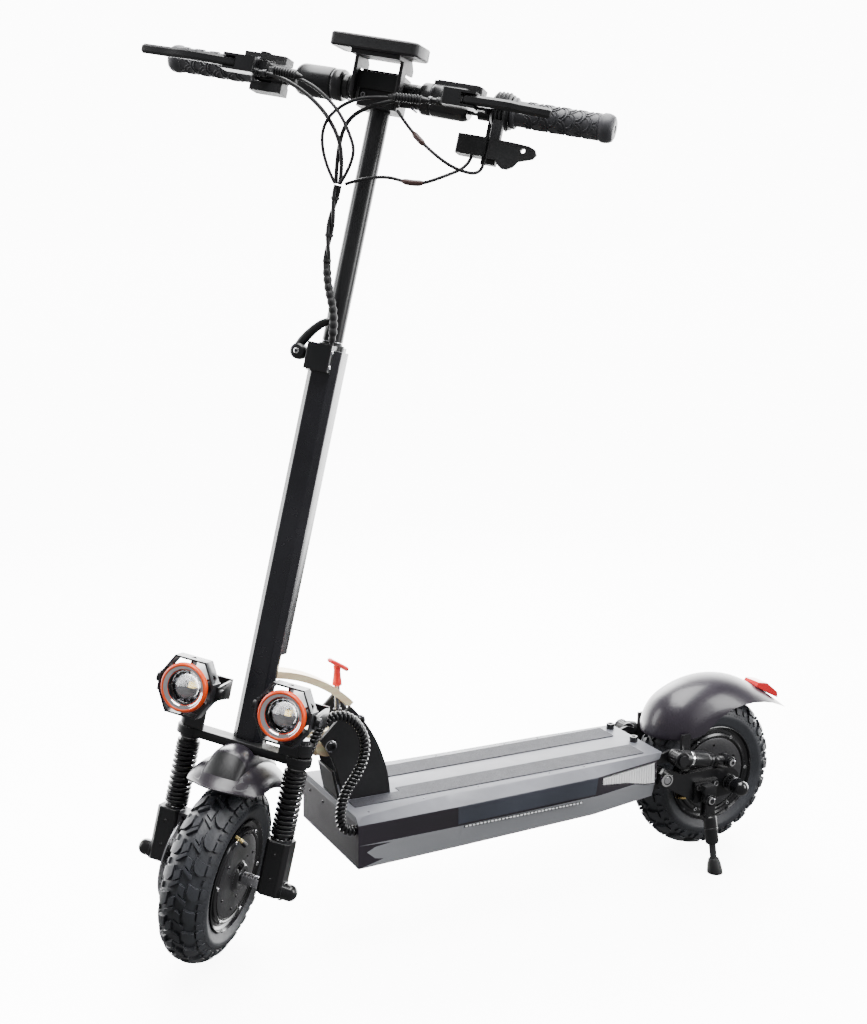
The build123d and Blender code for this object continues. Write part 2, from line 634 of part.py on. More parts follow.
# Left: ribbed collar with the throttle's hinge lugs, a hanging switch box and a box on the bar
throttle_x, throttle_y = 166.0, -14.0
horn_x, horn_h = 137.0, 1139.5
with BuildPart() as left_controls:
    turned(along_bar(1, 150), [(bar_radius, 0), (15, 0), (15, 3), (20, 3), (24, 7), (22, 9),
                               (24.5, 12), (22, 14), (24.5, 17), (22, 19), (24.5, 22), (22, 24),
                               (22, 27), (bar_radius, 27)])
    block(shifted(steer, throttle_x, throttle_y, 1150.5), 14, 12, 24, corner=2)
    block(shifted(steer, throttle_x, throttle_y + 2, 1118), 14, 12, 6, corner=2)
    block(shifted(steer, throttle_x - 4.5, throttle_y + 7, 1118), 20, 5, 40)
    block(shifted(steer, horn_x, -2, horn_h - 12.5), 43, 26, 25, corner=4)
    block(shifted(steer, 153, 1, horn_h + 2), 8, 10, 40, corner=1)
    block(shifted(steer, 100, 8, 1190), 66, 30, 24, corner=4)
    block(shifted(steer, 100, 6, 1214), 58, 22, 1.5, corner=3)
    rod(front_plane(steer, -1, horn_x, horn_h), 6.05, -14, mode=Mode.SUBTRACT)
    add(bar_left.part, mode=Mode.SUBTRACT)
    add(grip_left.part, mode=Mode.SUBTRACT)
    add(perch_left.part, mode=Mode.SUBTRACT)
    rod(shifted(steer, throttle_x, throttle_y, 1123.9), 8, 26.6, mode=Mode.SUBTRACT)
    rod(shifted(steer, throttle_x, throttle_y, 1120), 2.5, 34)

with BuildPart() as throttle_paddle:
    lobes = [(161, 1150), (190, 1149.5), (214, 1148), (222, 1145), (225, 1139), (221, 1133), (212, 1130),
             (203, 1127), (197, 1119), (190, 1115), (183, 1115), (177, 1119), (174, 1124), (161, 1124.2)]
    prism(front_plane(steer, throttle_y - 3), lobes, 6)
    rod(front_plane(steer, throttle_y - 2, 207, 1141), 3, 10, mode=Mode.SUBTRACT)
    rod(shifted(steer, throttle_x, throttle_y, 1124.2), 6, 26)
    rod(shifted(steer, throttle_x, throttle_y, 1122), 2.55, 32, mode=Mode.SUBTRACT)

with BuildPart() as horn_button:
    rod(front_plane(steer, 1.5, horn_x, horn_h), 5.95, -12)
    rod(front_plane(steer, 13.5, horn_x, horn_h), 7.5, -2.5)

# Right: a switch housing that clamps the bar, with a box above it
mode_x = -180.0
with BuildPart() as right_controls:
    rod(along_bar(-1, 140), 15.5, 16.5, bore=bar_radius)
    block(shifted(steer, -163, 2, 1163.5), 46, 28, 12, corner=3)
    block(shifted(steer, -148, 2, 1172), 15, 24, 34, corner=2)
    block(shifted(steer, -173, 8, 1205.5), 62, 30, 8, corner=4)
    add(bar_right.part, mode=Mode.SUBTRACT)
    add(perch_right.part, mode=Mode.SUBTRACT)
    add(grip_right.part, mode=Mode.SUBTRACT)
    rod(shifted(steer, mode_x, 10, 1207.5), 6.05, 8, mode=Mode.SUBTRACT)

with BuildPart() as mode_button:
    rod(shifted(steer, mode_x, 10, 1211.8), 5.95, 5.2)
    rod(shifted(steer, mode_x, 10, 1216.2), 7.5, 2)

# Quick-release lever of the stem collar: hub, curved arm and pin
with BuildPart() as qr_lever:
    turned(front_plane(steer, qr_y + 9, qr_x, qr_h),
           [(2.05, 0), (8, 0), (11, 4), (11, 14), (8, 18), (2.05, 18)])
    arm = [(-8, 7), (-1, 10), (6, 8), (12.5, 18.5), (24, 32), (37, 43), (32, 51), (17, 46),
           (2, 31), (-6, 16)]
    prism(front_plane(steer, qr_y + 5, qr_x, qr_h), arm, 10)
    rod(front_plane(steer, qr_y + 9, qr_x, qr_h), 2.05, 18, mode=Mode.SUBTRACT)

# ---- Rear suspension ---------------------------------------------------------------------------
arm_in, arm_out = 62.0, 72.0
shock_x = 74.0
shock_vector = Vector(0, shock_rear_y - shock_front_y, shock_rear_z - shock_front_z)
shock_angle = -90 + degrees(asin(shock_vector.Z / shock_vector.length))
plate_outline = [(255, 146), (259, 162), (270, 167), (282, 163), (300, 155), (378, 154), (402, 148),
                 (412, 138), (412, 117), (398, 107), (330, 102), (312, 114), (268, 139)]
eye_tab = [(368, 150), (374, 172), (394, 172), (400, 150)]
with BuildPart() as swing_arm:
    for side in (1, -1):
        inner = arm_in if side == 1 else -arm_out
        prism(side_plane(Plane.XY, inner), plate_outline, arm_out - arm_in)
        # tab and pin for the shock's rear eye
        tab = arm_in - 3 if side == 1 else -arm_in
        prism(side_plane(Plane.XY, tab), eye_tab, 3)
        rod(side_plane(Plane.XY, tab if side == 1 else -88, shock_rear_y, shock_rear_z), 4.0, 29)
        rod(side_plane(Plane.XY, 84.5 if side == 1 else -88, shock_rear_y, shock_rear_z), 6.5, 3.5)
        # fender strut
        strut = [(306, 126), (306, 214), (322, 214), (322, 126)]
        prism(side_plane(Plane.XY, 56 if side == 1 else -62), strut, 6)
        rod(side_plane(Plane.XY, inner - 1, rear_axle_y, tyre_radius), 6.0, 12, mode=Mode.SUBTRACT)
        rod(side_plane(Plane.XY, inner - 1, swing_y, swing_z), 6.05, 12, mode=Mode.SUBTRACT)
    # the strut stays clear of the shock
    for side in (1, -1):
        block(shifted(Plane.XY, side * 65, 320, 158), 8, 60, 70, mode=Mode.SUBTRACT)
        prism(side_plane(Plane.XY, 59 if side == 1 else -62), eye_tab, 3)
    # kickstand bracket on the left arm
    block(side_plane(Plane.XY, arm_out, 345, 122), 44, 34, 4)
    block(shifted(Plane.XY, 83, stand_y, stand_z + 11), 16, 20, 12)
    rod(side_plane(Plane.XY, 81.5, stand_y, stand_z), 9, 9)
    block(shifted(Plane.XY, 86, stand_y, stand_z), 9, 18, 12)
    rod(side_plane(Plane.XY, 77, stand_y, stand_z), 4.0, 20)
    for y, z in ((329, 130), (362, 132)):
        rod(side_plane(Plane.XY, arm_out + 4, y, z), 5, 3.5)
    # brake caliper on the right arm, open over the disc
    block(shifted(Plane.XY, -55.5, 352, 138), 13, 26, 18)
    block(shifted(Plane.XY, -54.9, 352, 150), 11.8, 26, 30)
    rod(side_plane(rear_axle_frame, disc_x - 1.6), 61.5, 3.2, mode=Mode.SUBTRACT)

with BuildPart() as rear_axle:
    rod(side_plane(rear_axle_frame, -76), 6.0, 152)
    rod(side_plane(rear_axle_frame, -12), 50.0, 24)
    rod(side_plane(rear_axle_frame, -18), 14.0, 36)
    for side in (1, -1):
        outer = Plane(rear_axle_frame.location * Location((side * arm_out, 0, 0), (0, side * 90, 0)))
        turned(outer, [(6, 0), (13, 0), (13, 3), (9.5, 3), (9.5, 16), (0, 16), (0, 4), (6, 4)])
        capped(Plane(outer.location * Location((0, 0, 16))), 12.5, 14)

with BuildPart() as rear_hub:
    hub(rear_axle_frame)
with BuildPart() as rear_tyre:
    tyre(rear_axle_frame)
with BuildPart() as rear_disc:
    disc(rear_axle_frame)


def fender_section(frame, radius, half, skirt, angle):
    """Arched sheet section at one angle round a wheel, and the plane it lies on."""
    plane = Plane(frame.location * Location((0, 0, 0), (angle, 0, 0)) * Plane.XZ.location)
    with BuildSketch(plane) as section:
        with BuildLine():
            Line((-half, skirt), (-half, radius - 50))
            ThreePointArc((-half, radius - 50), (0, radius), (half, radius - 50))
            Line((half, radius - 50), (half, skirt))
            Line((half, skirt), (half - 3, skirt))
            Line((half - 3, skirt), (half - 3, radius - 50))
            ThreePointArc((half - 3, radius - 50), (0, radius - 3), (3 - half, radius - 50))
            Line((3 - half, radius - 50), (3 - half, skirt))
            Line((3 - half, skirt), (-half, skirt))
        make_face()
    return section.sketch


fender_crown = 158.0
nose_radius, tail_radius = 70.0, 600.0
nose_at, tail_at = radians(118), radians(62)
nose_step, tail_step = fender_crown - nose_radius, fender_crown - tail_radius
nose_frame = shifted(rear_axle_frame, 0, nose_step * cos(nose_at), nose_step * sin(nose_at))
tail_frame = shifted(rear_axle_frame, 0, tail_step * cos(tail_at), tail_step * sin(tail_at))
with BuildPart() as rear_fender:
    for frame, radius, skirt, start, sweep_angle in (
        (rear_axle_frame, fender_crown, 84, -28, 56),
        (nose_frame, nose_radius, 4, 28, 66),
        (tail_frame, tail_radius, 526, -37.3, 9.3),
    ):
        section = fender_section(frame, radius, 56, skirt, start)
        revolve(section, axis=Axis(frame.origin, (1, 0, 0)), revolution_arc=sweep_angle)
    # side opening over the wheel
    opening = [(250, 60), (250, 190), (296, 200), (324, 183), (340, 197), (358, 211), (382, 229),
               (405, 240), (430, 243), (455, 242), (482, 237), (506, 230), (532, 219), (552, 209),
               (562, 60)]
    prism(side_plane(Plane.XY, -80), opening, 160, mode=Mode.SUBTRACT)
    # tail narrows to a blunt point
    for side in (1, -1):
        corner = [(side * 60, 470), (side * 57, 490), (side * 46, 525), (side * 24, 547),
                  (side * 12, 562), (side * 60, 562)][::side]
        prism(Plane.XY.offset(150), corner, 200, mode=Mode.SUBTRACT)

with BuildPart() as tail_light:
    lens = [(484, 254.6), (489, 262), (508, 258), (530, 240), (531, 229.8)]
    prism(side_plane(Plane.XY, -17), lens, 34)
    add(rear_fender.part, mode=Mode.SUBTRACT)


def shock_frame(side):
    return shifted(Plane.XY, side * shock_x, shock_front_y, shock_front_z, rx=shock_angle)


with BuildPart() as shock_bodies:
    for side in (1, -1):
        frame = shock_frame(side)
        rod(side_plane(Plane.XY, side * shock_x - 12, shock_front_y, shock_front_z), 13, 24)
        turned(frame, [(0, 6), (12, 6), (13, 9), (13, 20), (12.4, 20), (12.4, 24), (13, 24), (13, 52),
                       (11, 55), (11, 64), (0, 64)])
        rod(shifted(frame, 0, 0, 20), 5.05, 50, mode=Mode.SUBTRACT)
        eye = side_plane(Plane.XY, side * shock_x - 13, shock_front_y, shock_front_z)
        rod(eye, 4.05, 26, mode=Mode.SUBTRACT)

with BuildPart() as shock_rods:
    for side in (1, -1):
        frame = shock_frame(side)
        rod(shifted(frame, 0, 0, 30), 5.0, shock_vector.length - 30)
        rod(side_plane(Plane.XY, side * shock_x - 10, shock_rear_y, shock_rear_z), 9, 20)
        eye = side_plane(Plane.XY, side * shock_x - 11, shock_rear_y, shock_rear_z)
        rod(eye, 4.4, 22, mode=Mode.SUBTRACT)

# ---- Kickstand -----------------------------------------------------------------------------------
stand_lean = 13.0
stand_leg = shifted(Plane.XY, stand_x - 2, stand_y, stand_z, ry=180 - stand_lean)
with BuildPart() as kickstand:
    for x in (77.5, 91.0):
        rod(side_plane(Plane.XY, x, stand_y, stand_z), 9, 3.2)
        block(shifted(Plane.XY, x + 1.6, stand_y, stand_z - 30), 3.2, 18, 30)
    block(shifted(Plane.XY, 85.85, stand_y, stand_z - 34), 16.7, 18, 10)
    rod(shifted(stand_leg, 0, 0, 26), 10.5, 44)
    rod(shifted(stand_leg, 0, 0, 70), 5.5, 30)
    turned(shifted(stand_leg, 0, 0, 92), [(0, 0), (8, 0), (10.5, 8), (12.5, 19), (12.5, 30), (0, 30)])
    block(shifted(Plane.XY, 110, stand_y, -20), 60, 60, 20, mode=Mode.SUBTRACT)
    rod(side_plane(Plane.XY, 70, stand_y, stand_z), 4.05, 30, mode=Mode.SUBTRACT)

# ---- Cables --------------------------------------------------------------------------------------
cable_radius, boot_radius, wire_radius, harness_radius = 2.6, 4.6, 1.8, 7.5
trunk = [(-22, -38, 1056), (-24, -34, 1010), (-17, -31, 940), (10, -31, 886), (10, -29, 853.5)]
brake_routes = {
    "left": [(77.9, -44, 1180.5), (58, -44, 1180.5), (10, -52, 1163), (-24, -50, 1140),
             (-30, -44, 1096), (-25, -38, 1057.5)],
    "right": [(-148.9, -44, 1180.5), (-128, -44, 1180.5), (-68, -52, 1155), (-32, -52, 1121),
              (-19, -46, 1088), (-19.4, -38, 1057.5)],
}
with BuildPart() as brake_cables:
    cable(on_steer(brake_routes["left"]), cable_radius)
    cable(on_steer(brake_routes["right"]), cable_radius)

wire_routes = [
    [(84, -58, 1177), (29, -58, 1174), (-20, -59, 1164), (-54, -56, 1130), (-46, -48, 1084),
     (-24.5, -43.4, 1057.5)],
    [(-138, -58, 1184), (-92, -58, 1181), (-42, -58, 1155), (-14, -58, 1124), (1, -52, 1092),
     (-16.8, -45.2, 1057.5)],
    [(138, -8, 1126.6), (137.5, -11, 1112), (116, -38, 1090), (84, -40, 1073), (30, -40, 1080),
     (-14, -32.6, 1060)],
    [(155, -7, 1117.6), (154.5, -9, 1104), (130, -34, 1102), (101, -42, 1114), (60, -40, 1140),
     (34, -28, 1163.7)],
]
with BuildPart() as control_wires:
    for route in wire_routes:
        cable(on_steer(route), wire_radius)
    boots = (((82, -58, 1177), (29, -58, 1174.5)), ((-140, -58, 1184.5), (-92, -58, 1181)))
    for boot in boots:
        first, last = [Vector(*p) for p in on_steer(boot)]
        rod(Plane(origin=first, z_dir=last - first), boot_radius, (last - first).length)
    cable(on_steer(trunk), 6.0)

with BuildPart() as neck_harness:
    cable([(11.1, -326, 296), (34, -326, 296), (50, -324, 268), (57, -314, 300), (62, -296, 336),
           (68, -262, 336), (74, -240, 300), (80, -250, 262), (88, -284, 228), (90, -287, 178),
           (90, -264.1, 178)], harness_radius)

pieces = {
    "deck_shell": deck_shell,
    "deck_lid": deck_lid,
    "rear_bracket": rear_bracket,
    "grip_strips": grip_strips,
    "battery_pack": battery_pack,
    "motor_controller": motor_controller,
    "led_strips": led_strips,
    "side_lamps": side_lamps,
    "neck_plates": neck_plates,
    "deck_bolts": deck_bolts,
    "neck_arm": neck_arm,
    "headset_bearings": headset_bearings,
    "latch_handle": latch_handle,
    "fork_crown": fork_crown,
    "stem_tube": stem_tube,
    "stem_collar": stem_collar,
    "stanchions": stanchions,
    "headlight_brackets": headlight_brackets,
    "front_fender": front_fender,
    "fork_springs": fork_springs,
    "fork_legs": fork_legs,
    "front_axle": front_axle,
    "front_tyre": front_tyre,
    "front_hub": front_hub,
    "front_disc": front_disc,
    "headlight_housings": headlight_housings,
    "headlight_rings": headlight_rings,
    "headlight_lenses": headlight_lenses,
    "qr_lever": qr_lever,
    "post_tube": post_tube,
    "bar_clamp": bar_clamp,
    "display_bracket": display_bracket,
    "display_unit": display_unit,
    "display_glass": display_glass,
    "bar_left": bar_left,
    "grip_left": grip_left,
    "perch_left": perch_left,
    "left_controls": left_controls,
    "bar_right": bar_right,
    "grip_right": grip_right,
    "perch_right": perch_right,
    "right_controls": right_controls,
    "lever_left": lever_left,
    "lever_right": lever_right,
    "throttle_paddle": throttle_paddle,
    "horn_button": horn_button,
    "mode_button": mode_button,
    "swing_arm": swing_arm,
    "rear_axle": rear_axle,
    "rear_fender": rear_fender,
    "tail_light": tail_light,
    "shock_bodies": shock_bodies,
    "shock_rods": shock_rods,
    "rear_tyre": rear_tyre,
    "rear_hub": rear_hub,
    "rear_disc": rear_disc,
    "kickstand": kickstand,
    "brake_cables": brake_cables,
    "control_wires": control_wires,
    "neck_harness": neck_harness,
}
for name, piece in pieces.items():
    piece.part.label = name
    export_step(piece.part, f"parts/{name}.step")
print("cord radii in mm:", cable_radius, wire_radius, harness_radius)
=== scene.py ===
"""Looks of the electric kick scooter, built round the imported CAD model.

Shapes are drawn in millimetres in one of three frames: the row frame, the steering frame (x to the left
along the handlebar, y rearward, z up the steering axis) or a wheel's own frame (x along the axle).
"""

import json
from math import cos, pi, radians, sin, sqrt

import bmesh
import bpy
from mathutils import Matrix, Vector


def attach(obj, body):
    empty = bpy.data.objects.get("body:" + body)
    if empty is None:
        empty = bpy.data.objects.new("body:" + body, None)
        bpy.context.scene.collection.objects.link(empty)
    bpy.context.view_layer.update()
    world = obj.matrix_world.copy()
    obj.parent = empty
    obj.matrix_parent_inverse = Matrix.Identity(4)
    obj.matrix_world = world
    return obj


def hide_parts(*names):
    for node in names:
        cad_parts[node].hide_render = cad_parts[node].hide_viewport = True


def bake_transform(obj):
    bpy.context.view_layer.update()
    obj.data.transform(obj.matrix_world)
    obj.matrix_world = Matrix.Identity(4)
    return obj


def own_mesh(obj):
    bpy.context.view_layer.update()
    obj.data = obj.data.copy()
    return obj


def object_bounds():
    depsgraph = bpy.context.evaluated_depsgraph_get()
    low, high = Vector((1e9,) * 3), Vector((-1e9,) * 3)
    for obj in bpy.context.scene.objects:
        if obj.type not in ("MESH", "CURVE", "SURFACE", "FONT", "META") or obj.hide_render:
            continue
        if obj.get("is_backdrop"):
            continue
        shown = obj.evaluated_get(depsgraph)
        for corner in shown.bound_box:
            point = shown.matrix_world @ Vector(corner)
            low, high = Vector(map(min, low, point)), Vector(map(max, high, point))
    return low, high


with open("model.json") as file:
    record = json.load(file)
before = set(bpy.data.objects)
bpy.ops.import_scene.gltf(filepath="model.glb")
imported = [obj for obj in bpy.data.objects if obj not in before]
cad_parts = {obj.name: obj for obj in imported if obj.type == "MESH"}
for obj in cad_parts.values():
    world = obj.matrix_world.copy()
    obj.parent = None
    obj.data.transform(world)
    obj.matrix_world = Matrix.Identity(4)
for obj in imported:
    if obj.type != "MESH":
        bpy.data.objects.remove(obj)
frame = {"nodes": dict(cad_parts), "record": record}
cad_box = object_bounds()
nodes = frame["nodes"]
BODY_OF = {n: b for b, members in frame["record"]["behaviour"]["bodies"].items() for n in members}

# ---- Frames, in millimetres ----
HEAD_TILT, STEER_TURN, STEM_FOOT_Y = radians(12.85), radians(45.7), -448.5
AXLE_OFFSET, TYRE_R, TYRE_CROWN, REAR_AXLE_Y = 26.0, 127.0, 35.0, 392.5
HOOP_R = TYRE_R - TYRE_CROWN
SIDES = ((1, "+X"), (-1, "-X"))

MM = Matrix.Scale(0.001, 4)
c_t, s_t, c_s, s_s = cos(HEAD_TILT), sin(HEAD_TILT), cos(STEER_TURN), sin(STEER_TURN)
left = Vector((c_s, s_s * c_t, -s_s * s_t))
upward = Vector((0, s_t, c_t))
rearward = upward.cross(left)


def basis(x_dir, y_dir, z_dir, origin):
    matrix = Matrix((x_dir, y_dir, z_dir)).transposed().to_4x4()
    matrix.translation = origin
    return matrix


ROW = Matrix.Identity(4)
STEER = basis(left, rearward, upward, Vector((0, STEM_FOOT_Y, 0)))
axle_floor_z = HOOP_R * sqrt(1 - (s_s * s_t) ** 2) + TYRE_CROWN
AXLE_H = (axle_floor_z - AXLE_OFFSET * c_s * s_t) / c_t
FRONT_AXLE = STEER @ Matrix.Translation((0, -AXLE_OFFSET, AXLE_H))
REAR_AXLE = Matrix.Translation((0, REAR_AXLE_Y, TYRE_R))


def place(base, x=0, y=0, z=0, rx=0, ry=0, rz=0):
    """A frame moved and then turned, in degrees, inside another."""
    turn = (Matrix.Rotation(radians(rx), 4, "X") @ Matrix.Rotation(radians(ry), 4, "Y")
            @ Matrix.Rotation(radians(rz), 4, "Z"))
    return base @ Matrix.Translation((x, y, z)) @ turn


def facing(base, direction, x=0, y=0, z=0):
    """A frame whose z axis points along +X, -X or -Y of another."""
    rx, ry = {"+X": (0, 90), "-X": (0, -90), "-Y": (90, 0)}[direction]
    return place(base, x, y, z, rx, ry)


def spun(base, turn, x=0, y=0, z=0):
    """A frame turned about z, in degrees, and then moved."""
    return place(place(base, rz=turn), x, y, z)


def circle(radius, count):
    """Points evenly round a circle on the xy plane."""
    turns = [radians(360.0 * k / count) for k in range(count)]
    return [(radius * cos(turn), radius * sin(turn)) for turn in turns]


def along(spots):
    """Each point of a path with two directions square to it, carried on without twist."""
    side, last = None, len(spots) - 1
    for k, spot in enumerate(spots):
        ahead = (spots[min(k + 1, last)] - spots[max(k - 1, 0)]).normalized()
        if side is None:
            side = ahead.orthogonal().normalized()
        side = (side - ahead * side.dot(ahead)).normalized()
        yield spot, side, ahead.cross(side)


# ---- Camera ----
CAMERA_PLACE = Vector((1.7812, -1.0216, 0.9993))
CAMERA_AZIMUTH, CAMERA_DOWN, CAMERA_ROLL = radians(62.73), radians(11.5), radians(0.68)
LENS, SENSOR_WIDTH = 50.86, 36.0
back = Vector((sin(CAMERA_AZIMUTH) * cos(CAMERA_DOWN),
               -cos(CAMERA_AZIMUTH) * cos(CAMERA_DOWN), sin(CAMERA_DOWN)))
flat_right = Vector((0, 0, 1)).cross(back).normalized()
flat_up = back.cross(flat_right)
right = cos(CAMERA_ROLL) * flat_right + sin(CAMERA_ROLL) * flat_up
up = cos(CAMERA_ROLL) * flat_up - sin(CAMERA_ROLL) * flat_right
camera = bpy.data.objects.new("camera", bpy.data.cameras.new("camera"))
camera.data.lens, camera.data.sensor_width = LENS, SENSOR_WIDTH
camera.matrix_world = basis(right, up, back, CAMERA_PLACE)
bpy.context.scene.collection.objects.link(camera)
bpy.context.scene.camera = camera


# ---- Materials ----
BUMP_DEPTH = 0.0006


def feed(node, **inputs):
    """Gives each named input of a node a constant, or the output of another node."""
    for name, value in inputs.items():
        socket = node.inputs[name.replace("_", " ")]
        if isinstance(value, bpy.types.NodeSocket):
            node.id_data.links.new(value, socket)
        else:
            socket.default_value = value
    return node


def add(tree, kind, **inputs):
    return feed(tree.nodes.new("ShaderNode" + kind), **inputs)


def finish(name, colour, rough=0.5, metal=0.0, fleck=0.0, scale=60.0, bump=0.0, grain=400.0, coat=0.0,
           spread=0.08, second=None, stretch=(1, 1, 1), specular=0.5):
    """A procedural surface: cloudy colour, uneven gloss, and a fine grain as bump.

    fleck is the strength of the colour's speckle, spread how far the roughness wanders, and second a second
    colour that the clouds lead to.
    """
    material = bpy.data.materials.new(name)
    material.use_nodes = True
    tree = material.node_tree
    source = add(tree, "TexCoord").outputs["Object"]
    source = add(tree, "Mapping", Vector=source, Scale=stretch).outputs["Vector"]

    def noise(detail_scale, detail=4.0):
        made = add(tree, "TexNoise", Vector=source, Scale=detail_scale, Detail=detail, Roughness=0.6)
        return made.outputs["Fac"]

    def ramp(fac, *stops):
        made = add(tree, "ValToRGB", Fac=fac)
        for element, (position, tint) in zip(made.color_ramp.elements, stops):
            element.position, element.color = position, (*tint, 1)
        return made.outputs["Color"]

    other = second or tuple(min(1.0, c * 1.35 + 0.004) for c in colour)
    colour_out = ramp(noise(scale * 0.12), (0.35, colour), (0.65, other))
    if fleck:
        speckle = ramp(noise(grain, 2.0), (0.46, (1 - fleck,) * 3), (0.62, (1, 1, 1)))
        blend = add(tree, "Mix")
        blend.data_type, blend.blend_type = "RGBA", "MULTIPLY"
        colour_out = feed(blend, Factor=1.0, A=colour_out, B=speckle).outputs["Result"]
    gloss = add(tree, "MapRange", Value=noise(scale, 5.0), To_Min=max(0.02, rough - spread),
                To_Max=min(1.0, rough + spread))
    shader = feed(tree.nodes["Principled BSDF"], Base_Color=colour_out, Roughness=gloss.outputs["Result"],
                  Metallic=metal, Coat_Weight=coat, Coat_Roughness=0.08, Specular_IOR_Level=specular)
    if bump:
        height = add(tree, "Bump", Height=noise(grain, 3.0), Strength=bump, Distance=BUMP_DEPTH)
        feed(shader, Normal=height.outputs["Normal"])
    return material


PAINT = finish("black_paint", (0.006, 0.006, 0.007), 0.32, bump=0.05, grain=900, coat=0.15, specular=0.38)
SATIN = finish("black_satin", (0.008, 0.008, 0.009), 0.42, bump=0.1, grain=1200, specular=0.35)
PLASTIC = finish("black_plastic", (0.009, 0.009, 0.01), 0.5, bump=0.22, grain=1500, specular=0.33)
GLOSS = finish("gloss_black", (0.004, 0.004, 0.005), 0.22, coat=0.25, spread=0.05, specular=0.4)
FENDER = finish("fender_black", (0.011, 0.01, 0.012), 0.33, bump=0.1, grain=1600,
                second=(0.022, 0.017, 0.026), scale=18, coat=0.2)
STEM_BLACK = finish("stem_black", (0.009, 0.009, 0.012), 0.26, bump=0.02, grain=1300)
RUBBER = finish("rubber", (0.008, 0.008, 0.009), 0.5, bump=0.3, grain=900, specular=0.35)
TYRE_RUBBER = finish("tyre_rubber", (0.02, 0.022, 0.026), 0.46, bump=0.5, grain=500,
                     second=(0.038, 0.041, 0.048), scale=90)
JOINT_BROWN = finish("joint_brown", (0.04, 0.017, 0.014), 0.45, bump=0.1)
GRIP = finish("grip_rubber", (0.036, 0.036, 0.041), 0.46, bump=0.3, grain=900, second=(0.05, 0.05, 0.056))
DECK_LID = finish("deck_lid_grey", (0.085, 0.088, 0.102), 0.48, metal=0.15, bump=0.14, grain=1700)
DECK_STRIPE = finish("deck_stripe", (0.03, 0.034, 0.047), 0.42, bump=0.12, grain=1500)
GRIP_TAPE = finish("grip_tape", (0.028, 0.029, 0.038), 0.78, bump=0.9, grain=700, fleck=0.55)
BARE_METAL = finish("bare_metal", (0.9, 0.68, 0.44), 0.34, metal=0.15, bump=0.12, grain=500,
                    stretch=(1, 1, 14))
STEEL = finish("steel", (0.5, 0.5, 0.52), 0.26, metal=1.0, bump=0.1, grain=700)
CHROME = finish("chrome", (0.8, 0.8, 0.82), 0.09, metal=1.0, spread=0.04)
DARK = finish("dark_steel", (0.035, 0.035, 0.038), 0.22, metal=0.6, coat=0.5, spread=0.06)
HUB_GREY = finish("hub_grey", (0.022, 0.022, 0.024), 0.42, metal=0.1, bump=0.1, grain=600)
FACET_GREY = finish("facet_grey", (0.06, 0.06, 0.064), 0.4, bump=0.1, grain=900)
DECK_SILVER = finish("deck_silver", (0.42, 0.43, 0.46), 0.4, metal=0.35, bump=0.1, grain=1500,
                     second=(0.26, 0.27, 0.29), scale=26, stretch=(1, 0.4, 1))
SLEEVE_BLACK = finish("sleeve_black", (0.006, 0.006, 0.007), 0.3, bump=0.06, grain=900, coat=0.1)
HUB_BLACK = finish("hub_black", (0.007, 0.007, 0.008), 0.24, coat=0.2, bump=0.06, grain=700)
HOUSING = finish("housing_grey", (0.024, 0.025, 0.028), 0.34, metal=0.3, bump=0.08, grain=900)
RED_PLASTIC = finish("red_plastic", (0.8, 0.02, 0.022), 0.32, bump=0.05, grain=700, coat=0.2)
ORANGE_RING = finish("orange_ring", (0.86, 0.05, 0.004), 0.34, bump=0.05, grain=700, coat=0.1,
                     second=(0.92, 0.085, 0.006))
RED_LENS = finish("red_lens", (0.62, 0.008, 0.014), 0.14, coat=0.6, spread=0.04, bump=0.3, grain=260)
LAMP_WHITE = finish("lamp_white", (0.78, 0.79, 0.82), 0.18, coat=0.5, spread=0.05, bump=0.2, grain=300)
AMBER = finish("amber", (0.9, 0.55, 0.1), 0.25, coat=0.4)
GOLD = finish("gold", (0.83, 0.6, 0.26), 0.22, metal=1.0, spread=0.05)
MIRROR = finish("mirror_bowl", (0.72, 0.72, 0.76), 0.07, metal=1.0, spread=0.04)
CLEAR = finish("clear_lens", (0.96, 0.97, 1.0), 0.04, spread=0.02, scale=20, bump=0.05, grain=90)
feed(CLEAR.node_tree.nodes["Principled BSDF"], Transmission_Weight=0.95, IOR=1.45)
CELL_BLUE = finish("cell_blue", (0.06, 0.14, 0.28), 0.5, bump=0.1)
SCREEN = finish("screen", (0.008, 0.01, 0.012), 0.08, coat=0.8, spread=0.03)


